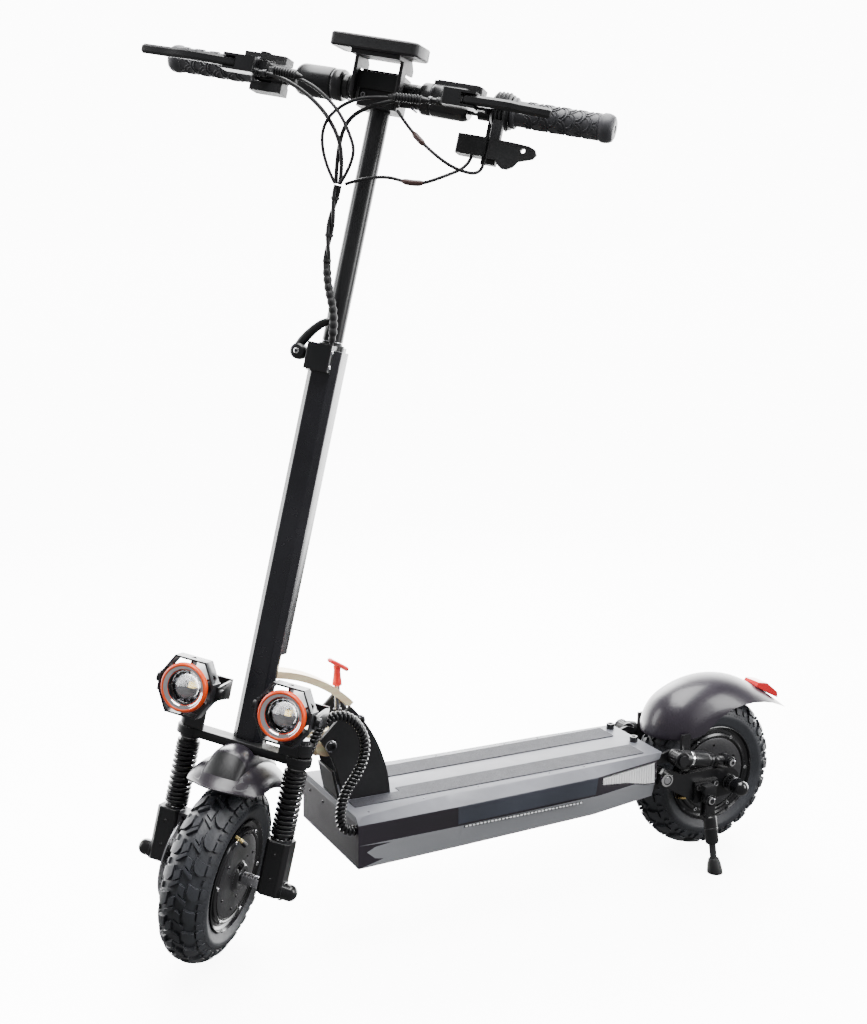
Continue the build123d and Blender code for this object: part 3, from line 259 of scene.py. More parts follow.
# ---- Mesh building ----
class Piece:
    """A mesh drawn in millimetres in placed frames, with one material per feature.

    replaced are the CAD nodes it stands for; it rides on body, or on the first of those nodes' body.
    """

    def __init__(self, name, slot, *replaced, body=None):
        self.name, self.slot, self.replaced = name, slot, replaced
        self.body = body or BODY_OF[replaced[0]]
        self.mesh = bmesh.new()
        self.materials = []

    def faces(self, base, points, loops, material, smooth=True):
        """Faces given as indices into points, in a placed frame."""
        world = MM @ base
        if material not in self.materials:
            self.materials.append(material)
        verts = [self.mesh.verts.new(world @ Vector(p)) for p in points]
        for loop in loops:
            face = self.mesh.faces.new([verts[i] for i in loop])
            face.material_index = self.materials.index(material)
            face.smooth = smooth

    def grid(self, base, rows, material, closed=False, capped=False):
        """A skin over rows of points; closed joins each row's ends, capped fills the first and last row."""
        count = len(rows[0])
        loops = []
        for start in range(0, (len(rows) - 1) * count, count):
            for c in range(count if closed else count - 1):
                n = (c + 1) % count
                loops.append((start + c, start + n, start + count + n, start + count + c))
        if capped:
            last = (len(rows) - 1) * count
            loops += [tuple(reversed(range(count))), tuple(range(last, last + count))]
        self.faces(base, [p for row in rows for p in row], loops, material)

    def lathe(self, base, profile, material, segments=48):
        """A profile of (radius, height) turned about the frame's z axis."""
        rows = [[(x, y, height) for x, y in circle(radius, segments)] for radius, height in profile]
        self.grid(base, rows, material, closed=True)

    def rod(self, base, radius, length, material, bevel=0.6, segments=32):
        """A round bar with eased edges."""
        e = min(bevel, radius * 0.4, length * 0.4)
        self.lathe(base, [(0, 0), (radius - e, 0), (radius, e), (radius, length - e), (radius - e, length),
                          (0, length)], material, segments)

    def prism(self, base, outline, height, material, bevel=0.8):
        """An outline extruded along z with its two rims eased."""
        corners = [Vector(p) for p in outline]
        around = list(zip(corners[-1:] + corners[:-1], corners, corners[1:] + corners[:1]))
        inward = 1 if sum(a.x * b.y - b.x * a.y for a, b, _ in around) > 0 else -1

        def ring(z, inset):
            row = []
            for before, here, after in around:
                run = (here - before).normalized() + (after - here).normalized()
                spot = here + Vector((-run.y, run.x)).normalized() * inward * inset
                row.append((spot.x, spot.y, z))
            return row

        b = min(bevel, abs(height) * 0.4)
        rows = [ring(0, b), ring(b, 0), ring(height - b, 0), ring(height, b)]
        self.grid(base, rows, material, closed=True, capped=True)

    def block(self, base, width, depth, height, material, corner=2.0, bevel=0.8):
        """A box on the frame's xy plane with rounded uprights and eased rims."""
        outline = []
        for cx, cy, first in ((1, 1, 0), (-1, 1, 90), (-1, -1, 180), (1, -1, 270)):
            for angle in (radians(first + 30 * step) for step in range(4)):
                outline.append((cx * (width / 2 - corner) + corner * cos(angle),
                                cy * (depth / 2 - corner) + corner * sin(angle)))
        self.prism(base, outline, height, material, bevel)

    def dome(self, base, radius, straight, material, flat=0.9):
        """A nut cap: a short cylinder with a rounded end."""
        arc = [(radius * cos(radians(a)), straight + flat * radius * sin(radians(a)))
               for a in range(0, 91, 10)]
        self.lathe(base, [(0, 0), (radius - 0.8, 0), (radius, 0.8)] + arc, material, 36)

    def bolt(self, base, radius, height, material, socket=0.55):
        """A cap screw with a hexagonal socket whose floor is painted dark, as painted shade in the recess."""
        self.lathe(base, [(0, 0), (radius, 0), (radius, height - 0.7), (radius - 0.7, height),
                          (radius * socket, height)], material, 24)
        rim = [(x, y, height) for x, y in circle(radius * socket, 6)]
        well = [(x * 0.95, y * 0.95, height * 0.45) for x, y, _ in rim]
        self.grid(base, [rim, well], material, closed=True)
        # the socket's floor is painted dark: painted shade in the recess
        self.faces(base, well, [tuple(range(6))], DARK)

    def nut(self, base, across, height, material):
        """A hexagonal nut."""
        self.prism(base, circle(across / sqrt(3), 6), height, material, 0.7)

    def tube(self, base, path, radius, material, segments=12):
        """A round tube along a smooth path; radius may be one per point."""
        radii = radius if isinstance(radius, list) else [radius] * len(path)
        rows = [[tuple(spot + r * (side * cos(t) + other * sin(t)))
                 for t in (2 * pi * s / segments for s in range(segments))]
                for r, (spot, side, other) in zip(radii, along([Vector(p) for p in path]))]
        self.grid(base, rows, material, closed=True, capped=True)

    def build(self, auto_smooth=35.0, bend=None):
        """The finished object; given bend, (body, body, start, end), the piece is left fixed in place instead
        of riding on a body.
        """
        mesh = bpy.data.meshes.new(self.name)
        bmesh.ops.remove_doubles(self.mesh, verts=self.mesh.verts, dist=1e-5)
        bmesh.ops.recalc_face_normals(self.mesh, faces=self.mesh.faces)
        self.mesh.to_mesh(mesh)
        self.mesh.free()
        for material in self.materials:
            mesh.materials.append(material)
        piece = shown(self.name, mesh)
        mesh.set_sharp_from_angle(angle=radians(auto_smooth))
        if bend:
            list(bend)
            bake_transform(piece)
        else:
            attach(piece, self.body)
        if self.replaced:
            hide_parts(*self.replaced)
        return piece


def shown(name, data):
    """A new object in the scene."""
    piece = bpy.data.objects.new(name, data)
    bpy.context.scene.collection.objects.link(piece)
    return piece


def eased(node, material, width=0.7, angle=28.0):
    """The CAD node's own shape with its edges eased, in place of the node."""
    mesh = nodes[node].data.copy()
    mesh.name = node + "_eased"
    tool = bmesh.new()
    tool.from_mesh(mesh)
    bmesh.ops.remove_doubles(tool, verts=tool.verts, dist=2e-5)
    bmesh.ops.dissolve_limit(tool, angle_limit=radians(0.5), verts=tool.verts, edges=tool.edges)
    for face in tool.faces:
        face.smooth = True
        face.material_index = 0
    tool.to_mesh(mesh)
    tool.free()
    mesh.materials.clear()
    mesh.materials.append(material)
    piece = shown(mesh.name, mesh)
    ease = piece.modifiers.new("ease", "BEVEL")
    ease.width, ease.segments = width / 1000, 2
    ease.limit_method, ease.angle_limit = "ANGLE", radians(angle)
    mesh.set_sharp_from_angle(angle=radians(40))
    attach(piece, BODY_OF[node])
    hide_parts(node)
    return piece


def coat(node, material):
    """Gives a CAD node that stays its surface."""
    nodes[node].data.materials.clear()
    nodes[node].data.materials.append(material)


# ---- Wheels ----
TREAD_BASE, TREAD_TOP, PITCHES = 30.4, 34.9, 22
VALVE_TURN = {"front_hub": 205, "rear_hub": -62}


def tyre(name, base):
    """A knobbly air tyre: smooth carcass, moulded sidewall rings and rows of sculpted lugs."""
    piece = Piece(name, "tyre", name)
    wheel = place(base, ry=90)
    side = [(38, 30.2), (58, 31.2), (70, 32.2), (78, 32.6), (84, 33.4), (90, 33.4), (94, 32.4), (112, 31.4),
            (124, 31.8), (128, 31.0), (141, 30.0)]
    half = [(0, TREAD_BASE), (20, TREAD_BASE)] + side
    section = [(-a, r) for a, r in reversed(half)][:-1] + half
    profile = [(HOOP_R + r * cos(radians(a)), r * sin(radians(a))) for a, r in section]
    piece.lathe(wheel, profile, TYRE_RUBBER, 132)

    def spot(u, v, radius):
        """u runs round the crown and v across it, both in millimetres of tread."""
        bend = v / TYRE_CROWN
        out = HOOP_R + radius * cos(bend)
        turn = u / TYRE_R
        return (out * cos(turn), out * sin(turn), radius * sin(bend))

    def lug(u, across, sections, top=TREAD_TOP, sink=0.9):
        """A block on the tread from sections (v, first u, last u); across is -1 for a mirrored one."""
        sections = [(across * v, u0, u1) for v, u0, u1 in sections][::across]
        foot = TREAD_BASE - 0.4
        rows = [[spot(u + u0 - sink, v, foot), spot(u + u0, v, top - 0.1), spot(u + (u0 + u1) / 2, v, top),
                 spot(u + u1, v, top - 0.1), spot(u + u1 + sink, v, foot)] for v, u0, u1 in sections]
        for (v, u0, u1), out, at in ((sections[0], -sink, 0), (sections[-1], sink, len(rows) + 1)):
            rows.insert(at, [spot(u + x, v + out, foot) for x in (u0, u0, (u0 + u1) / 2, u1, u1)])
        piece.grid(wheel, rows, TYRE_RUBBER)

    step = 2 * pi * TYRE_R / PITCHES
    for k in range(PITCHES):
        u = k * step
        for across, shift in ((1, 0.0), (-1, step / 2)):
            # slanted centre block in two parts with a sipe between them
            lug(u + shift, across, [(1.5, 2, 13), (6, 3.5, 16), (10, 6, 19)])
            lug(u + shift, across, [(1.2, 15, 19.5), (5.5, 18, 23), (10.5, 21.5, 27), (14.5, 24, 29.5)])
            # shoulder block with a curved groove beside it
            lug(u + shift, across, [(13.5, -1, 12), (17, 0.5, 18), (22, 3, 21.5), (26.5, 4, 21.5),
                                    (30, 5, 20)])
            # rounded side lug that shows in the silhouette
            lug(u + shift, across, [(33, 5.5, 19.5), (37, 5, 20), (41, 6, 19), (44, 8.5, 16.5)], top=34.4)
            lug(u + shift, across, [(33.5, -8.5, 0.5), (38, -8, 0), (41.5, -6, -2)], top=33.8)
            # fine bars on the sidewall
            for bar in range(5):
                lug(u + shift + bar * step / 5, across, [(46.5, 0, 1.6), (49, 0, 1.6)], top=33.3, sink=0.5)
    piece.build(32)


def hub(name, base):
    """Motor hub: rim with a bead lip, black rings, a grey cover with chrome screws, and a bearing boss."""
    piece = Piece(name, "hub", name)
    for face in (1, -1):
        side = place(base, ry=90 * face)
        rim = [(60, 12), (76, 24), (78, 31), (76.8, 31.4), (74.5, 27), (71, 25), (67.5, 25.4), (66, 29.5),
               (63, 31.2)]
        piece.lathe(side, rim, HUB_BLACK, 96)
        piece.lathe(side, [(63, 31.2), (61.5, 30.4), (60.5, 28.4), (59, 28.4), (58.4, 30)], HUB_BLACK, 96)
        piece.lathe(side, [(58.4, 30), (57, 30.6), (42, 31.0), (26, 31.6), (22, 31.6), (21, 32.8),
                           (20, 33.8)], HUB_GREY, 96)
        piece.lathe(side, [(20, 33.8), (17.5, 37.4), (16.5, 38), (11.5, 38), (11, 36.5), (7.6, 36.5),
                           (6.3, 34)], HUB_BLACK, 64)
        for k in range(6):
            piece.bolt(spun(side, 60 * k + 30, 64.6, 0, 30), 2.9, 3.0, CHROME)
            piece.bolt(spun(side, 60 * k, 47, 0, 30.6), 1.9, 1.8, HUB_BLACK)
        for k in range(3):
            piece.rod(spun(side, 120 * k + 15, 32, 0, 31), 1.5, 1.2, HUB_BLACK, 0.3, 12)
    piece.lathe(place(base, ry=90), [(78, -31), (70, -8), (66, 0), (70, 8), (78, 31)], HUB_BLACK, 96)
    stem = spun(place(base, ry=90), VALVE_TURN[name])
    piece.tube(stem, [(70, 0, 26), (66, 0, 34), (62, 0, 39)], 2.6, GOLD)
    piece.tube(stem, [(62.6, 0, 38), (58.5, 0, 43.5)], 3.3, GLOSS)
    piece.build(30)


def disc(name, base):
    """Vented brake disc with a carrier and six screws, on the wheel's right; the vents are flush dark discs,
    painted shade in place of holes.
    """
    piece = Piece(name, "steel", name)
    side = place(base, x=-57, ry=-90)
    piece.lathe(side, [(36, 1), (36, -1), (60, -1), (60, 1), (36, 1)], STEEL, 96)
    for k in range(6):
        piece.prism(spun(side, 60 * k, z=-0.9), [(11, -5), (37, 3), (37, 11), (11, 5)], 1.8, STEEL, 0.3)
        piece.bolt(spun(side, 60 * k, 16.5, 0, 0.7), 2.3, 2.0, CHROME)
    # the vent holes are not cut: flush dark discs stand in for them, as painted shade
    for k in range(18):
        for ring in (43, 52):
            piece.rod(spun(side, 20 * k + ring, ring, 0, -1.06), 2.4, 2.12, DARK, 0.1, 14)
    piece.lathe(side, [(7, 1), (20, 1), (20, -1), (13, -1.2), (13, -18), (7, -18)], HUB_BLACK, 48)
    piece.build(30)


def nut_cap(piece, spot, radius, straight):
    """Glossy domed axle nut with a washer under it."""
    piece.lathe(spot, [(0, 0), (radius + 1.0, 0), (radius + 1.0, 1.5), (radius - 0.5, 2.2)], DARK, 40)
    piece.dome(place(spot, z=1.5), radius, straight - 1.5, GLOSS)


for make in (tyre, hub, disc):
    for end, base in (("front_", FRONT_AXLE), ("rear_", REAR_AXLE)):
        make(end + make.__name__, base)

for node, base, half in (("front_axle", FRONT_AXLE, 99), ("rear_axle", REAR_AXLE, 76)):
    axle = Piece(node + "_nuts", "gloss_black", node)
    axle.rod(facing(base, "+X", -half), 6, 2 * half, STEEL)
    for sign, way in SIDES:
        if node == "front_axle":
            nut_cap(axle, facing(base, way, sign * 99), 11.3, 10)
        else:
            spot = facing(base, way, sign * 72)
            axle.lathe(spot, [(6, 0), (13, 0), (13, 2.4), (12.4, 3), (9.6, 3)], DARK, 40)
            axle.nut(place(spot, z=3), 17, 9, DARK)
            axle.lathe(spot, [(6.8, 12), (7.5, 12.6), (7.5, 15.5), (6.8, 16.1)], DARK, 32)
            nut_cap(axle, facing(base, way, sign * 87), 12.3, 15)
        axle.lathe(facing(base, way, sign * 62), [(6, -22), (8.5, -22), (8.5, 0), (6, 0)], STEEL, 32)
    axle.build()

# ---- Fork ----
STANCHION_X, STANCHION_Y, LEG_X, CROWN_UNDER = 80.0, -21.0, 82.0, 296.0
SPRING_TOP, SPRING_FOOT, COILS, WIRE_R, COIL_R, FORK_TRAVEL = 287.0, 194.0, 13.5, 2.5, 14.0, 25.0
springs = Piece("fork_coils", "black_metal", "fork_springs")
for side in (1, -1):
    base = place(STEER, side * STANCHION_X, STANCHION_Y, 0)
    steps, line = int(COILS * 28), []
    low, high = SPRING_FOOT + WIRE_R, SPRING_TOP - WIRE_R
    for k in range(steps + 1):
        share = k / steps
        rise = share - 0.035 * sin(2 * pi * share)
        angle = 2 * pi * COILS * share
        line.append((COIL_R * cos(angle), COIL_R * sin(angle), low + (high - low) * rise))
    springs.tube(base, line, WIRE_R, PAINT, 10)
coils = springs.build(80)
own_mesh(coils)

rods = Piece("fork_stanchions", "chrome", "stanchions")
for side in (1, -1):
    base = place(STEER, side * STANCHION_X, STANCHION_Y, 0)
    rods.rod(place(base, z=172), 10.6, 160, DARK)
    rods.lathe(base, [(10, 283), (15, 283), (15.5, 284), (15.5, 286.6), (15, 287), (12, 287), (12, 291),
                      (14, 291.6), (14, 295.4), (10, 296)], PAINT, 40)
    rods.lathe(base, [(10, 290.6), (12.4, 290.8), (12.4, 291.8), (10, 292)], CHROME, 40)
rods.build()

LEG_FOOT, LEG_HEAD, LEG_HALF, LEG_FLAT = 116.0, 192.0, 17.0, 11.8
legs = Piece("fork_lower_legs", "black_metal", "fork_legs")
for side, way in SIDES:
    base = place(STEER, side * LEG_X, -24, LEG_FOOT)
    half, flat = LEG_HALF, LEG_FLAT
    octagon = [(half, flat), (flat, half), (-flat, half), (-half, flat), (-half, -flat), (-flat, -half),
               (flat, -half), (half, -flat)]
    rows = []
    for z, inset in ((0, 1.2), (1.2, 0), (LEG_HEAD - LEG_FOOT - 1.2, 0), (LEG_HEAD - LEG_FOOT, 1.2)):
        rows.append([(x * (half - inset) / half, y * (half - inset) / half, z) for x, y in octagon])
    legs.grid(base, rows, SATIN, closed=True, capped=True)
    top = place(STEER, side * STANCHION_X, STANCHION_Y, LEG_HEAD)
    legs.lathe(top, [(0, -0.5), (15, -0.5), (15, 1.4), (14.4, 2), (11, 2)], DARK, 40)
    outer = facing(STEER, way, side * 98.4, -AXLE_OFFSET, AXLE_H)
    legs.lathe(outer, [(12, 0), (13, 0.3), (13.4, 0.6), (13.4, -2)], SATIN, 36)
    for height in (24, 58):
        legs.bolt(facing(STEER, "-Y", side * LEG_X, -40.6, LEG_FOOT + height), 2.6, 0.9, PAINT)
caliper = place(STEER, -57.5, -26, AXLE_H)
for sign in (1, -1):
    legs.block(place(caliper, sign * 4.7, 0, 36), 5.6, 30, 30, HOUSING, 1.5)
legs.block(place(caliper, z=61.6), 15, 30, 4.6, HOUSING, 1.5)
legs.build(25)

FENDER_BACK, FENDER_CURL, FENDER_LIP, FENDER_R, FENDER_HALF = -38.0, 12.0, 20.0, 158.0, 54.0
HEM_R, LIP_R = 128.0, 150.0   # the lip is clear of the tyre when the fork is pushed fully in
hood = Piece("front_fender_hood", "fender", "front_fender")


def hood_point(angle, x, lift=0.0, wide=FENDER_HALF):
    """A point on the hood's skin: a rounded arch over the wheel whose front curls down to a bowed lip."""
    share = min(1.0, abs(x) / wide)
    radius = HEM_R + (FENDER_R - HEM_R) * (1 - share ** 2.6) ** 0.62
    curl = max(0.0, (angle - FENDER_CURL) / (FENDER_LIP - FENDER_CURL))
    radius += (LIP_R + (HEM_R - LIP_R) * share ** 2 - radius) * curl ** 2 + lift
    turn = radians(angle + 11 * curl * (1 - share ** 2))
    return (x, -radius * sin(turn), radius * cos(turn))


def hood_skin(lift, wide):
    """The hood's skin as rows from back to lip; lift is how far it stands off the middle surface."""
    rows = []
    for k in range(41):
        angle = FENDER_BACK + (FENDER_LIP - FENDER_BACK) * (1 - (1 - k / 40) ** 1.5)
        pinch = 1 - 0.10 * max(0.0, (angle - FENDER_CURL) / (FENDER_LIP - FENDER_CURL)) ** 2
        lip = 2.2 * max(0.0, (k - 37) / 3)
        rows.append([hood_point(angle, sin(radians(5 * n - 90)) * wide * pinch, lift + lip, wide)
                     for n in range(37)])
    return rows


outer_skin, inner_skin = hood_skin(3.0, FENDER_HALF), hood_skin(0.4, FENDER_HALF - 2.6)
hems = [[[row[n] for row in skin] for skin in (outer_skin, inner_skin)] for n in (0, -1)]
for rows in (outer_skin, inner_skin, *hems, [outer_skin[0], inner_skin[0]]):
    hood.grid(FRONT_AXLE, rows, FENDER)
hood.grid(FRONT_AXLE, [outer_skin[-1], inner_skin[-1]], HOUSING)
# raised scoop along the crown with a flat arched front, as (angle, half width, rise)
scoop = []
SCOOP = ((-34, 24, 0), (-28, 27, 9), (-12, 28, 16), (4, 28, 21), (11, 27.5, 22), (13, 26.5, 20.5))
for angle, half, rise in SCOOP:
    turn, row = radians(angle), []
    for n in range(17):
        t = radians(180 * n / 16)
        lift = 2.0 + rise * sin(t) ** 0.7
        px, py, pz = hood_point(angle, half * cos(t))
        row.append((px, py - lift * sin(turn), pz + lift * cos(turn)))
    scoop.append(row)
hood.grid(FRONT_AXLE, scoop, FENDER)
scoop_foot = [hood_point(16.8, p[0] * 0.96, 2.6) for p in scoop[-1]]
hood.grid(FRONT_AXLE, [scoop[-1], scoop_foot], SATIN)
# lighter facets either side of the scoop's foot
for side in (1, -1):
    facet = [hood_point(angle, side * x, lift) for angle, x, lift in (
        (13, 30, 3.5), (16, 41, 3.5), (18.8, 36, 3.6), (19, 24, 3.6), (16, 27, 3.6))]
    hood.faces(FRONT_AXLE, facet, [(0, 1, 2, 3, 4)], FACET_GREY, smooth=False)
mount_foot = AXLE_H + FENDER_R + 1
hood.block(place(STEER, 0, -26, mount_foot), 30, 26, CROWN_UNDER - mount_foot, SATIN, 3)
for side in (1, -1):
    hood.bolt(place(STEER, side * 8, -33, mount_foot + 7), 2.6, 3, CHROME)
hood.build(38)

eased("fork_crown", SATIN, 1.2)
eased("stem_tube", STEM_BLACK, 0.9)
eased("stem_collar", PAINT, 0.8)
eased("headlight_brackets", PAINT, 0.7)

# ---- Headlights ----
LAMP_X, LAMP_Y, LAMP_Z = 70.5, -75.0, 374.0
eased("headlight_housings", HOUSING, 0.6)
rings = Piece("headlight_bezels", "orange", "headlight_rings")
glass = Piece("headlight_projectors", "lens", "headlight_lenses")
for side in (1, -1):
    base = facing(STEER, "-Y", side * LAMP_X, LAMP_Y - 14, LAMP_Z)
    rings.lathe(base, [(24, 5), (24, 1), (25, 0), (31.5, 0), (33, 1.4), (33.5, 4), (32.8, 7), (31.8, 8.4),
                       (30.6, 9), (29.4, 8.8), (28.6, 8)], ORANGE_RING, 96)
    rings.lathe(base, [(28.6, 8), (27.8, 7.6), (26.6, 7.4), (24.8, 6), (24, 5)], MIRROR, 96)
    bowl = facing(STEER, "-Y", side * LAMP_X, LAMP_Y + 20, LAMP_Z)
    glass.lathe(bowl, [(0, 0), (9, 0), (12, 3), (17, 10), (20.5, 18), (22.8, 29), (23.9, 33), (23.9, 38),
                       (23.2, 38.4)], MIRROR, 64)
    glass.lathe(bowl, [(23.2, 38.4), (21.6, 37), (20.4, 33), (20.0, 30)], GLOSS, 64)
    for step in range(12):
        glass.block(spun(bowl, 30 * step, 18.4, 0, 24), 3.4, 1.4, 7, DARK, 0.4, 0.3)
    glass.lathe(bowl, [(0, 21), (6, 21), (6, 23), (10, 24), (15.4, 25), (16, 26.5), (16, 28)], DARK, 48)
    lens = [(17.2, 27.4)] + [(17.2 * cos(radians(a)), 27.4 + 14.8 * sin(radians(a)))
                             for a in range(6, 91, 7)] + [(0, 42.2)]
    glass.lathe(bowl, lens, CLEAR, 64)
    glass.lathe(bowl, [(0, 26.2), (17.0, 26.4), (17.2, 27.4)], CLEAR, 64)
    glass.block(place(bowl, z=21.4), 5, 5, 1.2, AMBER, 0.6, 0.2)
rings.build()
glass.build(50)
lamp_bolts = Piece("headlight_pivots", "chrome", body="headlights")
for side in (1, -1):
    for ear, way in SIDES:
        spot = facing(STEER, way, side * LAMP_X + ear * 44.4, LAMP_Y, LAMP_Z)
        lamp_bolts.lathe(spot, [(3, -7), (5, -7), (5, -1.6), (3, -1.6)], CHROME, 24)
        lamp_bolts.bolt(place(spot, z=-1.4), 5.6, 4.6, CHROME)
lamp_bolts.build()

# ---- Stem, collar lever, post ----
trim = Piece("collar_trim", "chrome", body="steering")
for height in (823, 843):
    trim.bolt(facing(STEER, "+X", 12.8, -28, height), 3.2, 2.2, CHROME)
trim.lathe(STEER, [(14.2, 852), (16.6, 852), (17.2, 852.4), (17.2, 853.4), (16.6, 853.9), (14.2, 853.9)],
           PLASTIC, 48)
trim.build()
QR_X, QR_Y, QR_H = -35.5, -21.0, 836.0
lever = Piece("collar_quick_release", "black_metal", "qr_lever")
spot = facing(STEER, "-Y", QR_X, QR_Y + 9, QR_H)
ball = [(2.1, 0), (8, 0), (10.6, 2.4), (11, 5), (11, 13), (10.4, 15.6), (8, 17.6), (2.1, 18)]
lever.lathe(spot, ball, PAINT, 40)
lever.tube(STEER, [(QR_X - 2, -21, QR_H + 7), (QR_X + 2, -21, QR_H + 15), (QR_X + 8, -21, QR_H + 24),
                   (QR_X + 15, -21, QR_H + 33), (QR_X + 23, -21, QR_H + 41), (QR_X + 31, -21, QR_H + 46),
                   (QR_X + 34, -21, QR_H + 47.5)], [6.2, 6.4, 6.2, 5.8, 5.6, 5.0, 3.6], PAINT, 20)
lever.nut(facing(STEER, "-Y", QR_X, QR_Y - 8.4, QR_H), 7, 3.2, CHROME)
lever.build()
post = Piece("post_with_marks", "black_metal", "post_tube")
post.lathe(STEER, [(11.5, 650), (14, 650), (14, 1173), (11.5, 1173), (11.5, 650)], PAINT, 64)
post.lathe(STEER, [(14.0, 856), (14.12, 856.2), (14.12, 857.4), (14.0, 857.6)], STEEL, 64)
post.build()

# ---- Handlebar ----
BAR_H, BAR_END, GRIP_LONG = 1189.5, 312.0, 134.0
eased("bar_clamp", SATIN, 1.0)
eased("display_bracket", PLASTIC, 0.7)
clamp_bolts = Piece("clamp_bolts", "steel", body=BODY_OF["bar_clamp"])
for side in (1, -1):
    for height in (1178, 1201):
        clamp_bolts.bolt(facing(STEER, "-Y", side * 19, -21.4, height), 3.9, 2.6, STEEL)
clamp_bolts.build()
for (side, way), word, pivot, reach in zip(SIDES, ("left", "right"), (132.0, 203.0), (106.0, 133.0)):
    root = facing(STEER, way, side * 46.4, 0, BAR_H)
    bar = Piece(f"bar_{word}_sleeved", "black_metal", f"bar_{word}")
    bar.rod(root, 11.1, BAR_END - 52, PAINT)
    bar.lathe(root, [(11, 0), (15.4, 0), (15.9, 0.6), (15.9, 7.6), (18.9, 8), (20.6, 10.6), (20.8, 12),
                     (20.8, 20.6), (20.2, 22), (19.2, 22)], SLEEVE_BLACK, 56)
    bar.lathe(root, [(19.2, 22), (19.2, 24.5)], DARK, 56)
    bar.lathe(root, [(19.2, 24.5), (20.6, 24.5), (21.2, 25.4), (21.2, 66), (20.4, 69.5), (18.5, 73),
                     (17.6, 74), (11, 74)], SLEEVE_BLACK, 56)
    bar.rod(facing(STEER, "-Y", side * 46.2, 9, 1173.5), 2.5, 18, STEEL, 0.2, 16)
    bar.build()
    grip = Piece(f"grip_{word}_ribbed", "rubber", f"grip_{word}")
    inner = facing(STEER, way, side * (BAR_END - GRIP_LONG), 0, BAR_H)
    grip.lathe(inner, [(11.2, 0), (19.4, 0), (20, 0.7), (20, 4.3), (19.4, 5), (16.8, 6.2), (16.1, 9),
                       (15.9, 58), (16.2, 100), (16.6, 116), (18.4, 119), (18.5, 124), (17.6, 129),
                       (15.6, 132.4), (12.5, 134), (5, 134), (4.6, 133.2), (0, 133)], GRIP, 64)
    for turn in range(9):
        for row in range(5):
            # overlapping raised arcs, like scales
            middle = 18 + 22 * row + (11 if turn % 2 else 0)
            for size in (12.5, 8.6):
                arc = []
                for t in (radians(20 * s - 80) for s in range(9)):
                    swing = radians(40 * turn) + size * sin(t) / 16.2
                    height = min(114, middle + size * cos(t))
                    arc.append((16.3 * cos(swing), 16.3 * sin(swing), height))
                grip.tube(inner, arc, 0.95, GRIP, 6)
    grip.build(45)
    blade = Piece(f"brake_blade_{word}", "black_metal", f"lever_{word}")
    outline = [(-8, -40), (-9.3, -45), (-9, -50), (-4, -52.3), (8, -53), (30, -54.4), (50, -55),
               (0.5 * reach + 4, -53.8), (0.62 * reach, -50.2), (0.8 * reach, -47.8), (reach - 5, -46),
               (reach - 1.2, -44.8), (reach, -42.5), (reach - 1, -40), (reach - 3, -39), (0.8 * reach, -40.3),
               (0.6 * reach, -42), (48, -45.6), (30, -43.4), (14, -40.5), (6, -38), (-4, -38.6)]
    blade.prism(place(STEER, side * pivot, 0, BAR_H - 8), [(side * x, y) for x, y in outline[::side]], 13,
                PAINT, 3.2)
    blade.bolt(place(STEER, side * pivot, -45, BAR_H + 4.6), 4.0, 1.2, DARK)
    blade.build(40)
    eased(f"perch_{word}", PAINT, 0.9)
    barrel = Piece(f"cable_adjuster_{word}", "steel", body=f"{word}_bar")
    nut = place(STEER, side * (pivot - 37), -44, BAR_H - 9, ry=-90 * side)
    for k in range(16):
        barrel.block(spun(nut, 22.5 * k, 4.9, 0, 0.6), 0.8, 0.9, 4.8, PAINT, 0.2, 0.2)
    barrel.lathe(nut, [(4.2, 12.4), (4.8, 13), (4.8, 16), (4.2, 16.6)], DARK, 28)
    barrel.bolt(place(STEER, side * (pivot - 29), -43, BAR_H + 9), 3.0, 1.6, DARK)
    barrel.build()

eased("left_controls", PLASTIC, 0.8)
eased("right_controls", PLASTIC, 0.8)
eased("throttle_paddle", PLASTIC, 1.2)
eased("horn_button", RED_PLASTIC, 0.8)
eased("mode_button", HOUSING, 0.6)

# ---- Display ----
SCREEN_FRAME = place(STEER, -3, -37, 1238, rx=5)
CASE_HALF, CASE_REACH = 60.0, 29.0
slab = Piece("display_case", "black_plastic", "display_unit")
quarter = [(CASE_HALF - x, CASE_REACH - y) for x, y in ((7, 0), (4, 1.2), (1.2, 4), (0, 7))]
case = [(sx * x, sy * y) for sx, sy in ((1, 1), (-1, 1), (-1, -1), (1, -1)) for x, y in quarter[::-sx * sy]]
slab.prism(place(SCREEN_FRAME, z=-9), case, 17, PLASTIC, 2.0)
slab.prism(place(SCREEN_FRAME, z=-9.2), [(x * 0.8, y * 0.8) for x, y in case], 0.4, SATIN, 0.1)
for x in (-40, 0, 40):
    slab.bolt(place(SCREEN_FRAME, x, 25.4, 7.6), 1.8, 0.6, DARK)
slab.build(30)
face = Piece("display_screen", "gloss_black", "display_glass")
face.block(place(SCREEN_FRAME, z=8), 96, 44, 1.0, SCREEN, 4, 0.4)
for k in range(5):
    face.block(place(SCREEN_FRAME, -30 + 15 * k, -15, 9), 9, 3, 0.15, HOUSING, 1, 0.05)
face.block(place(SCREEN_FRAME, 0, 4, 9), 44, 16, 0.12, HUB_GREY, 2, 0.05)
face.build(30)

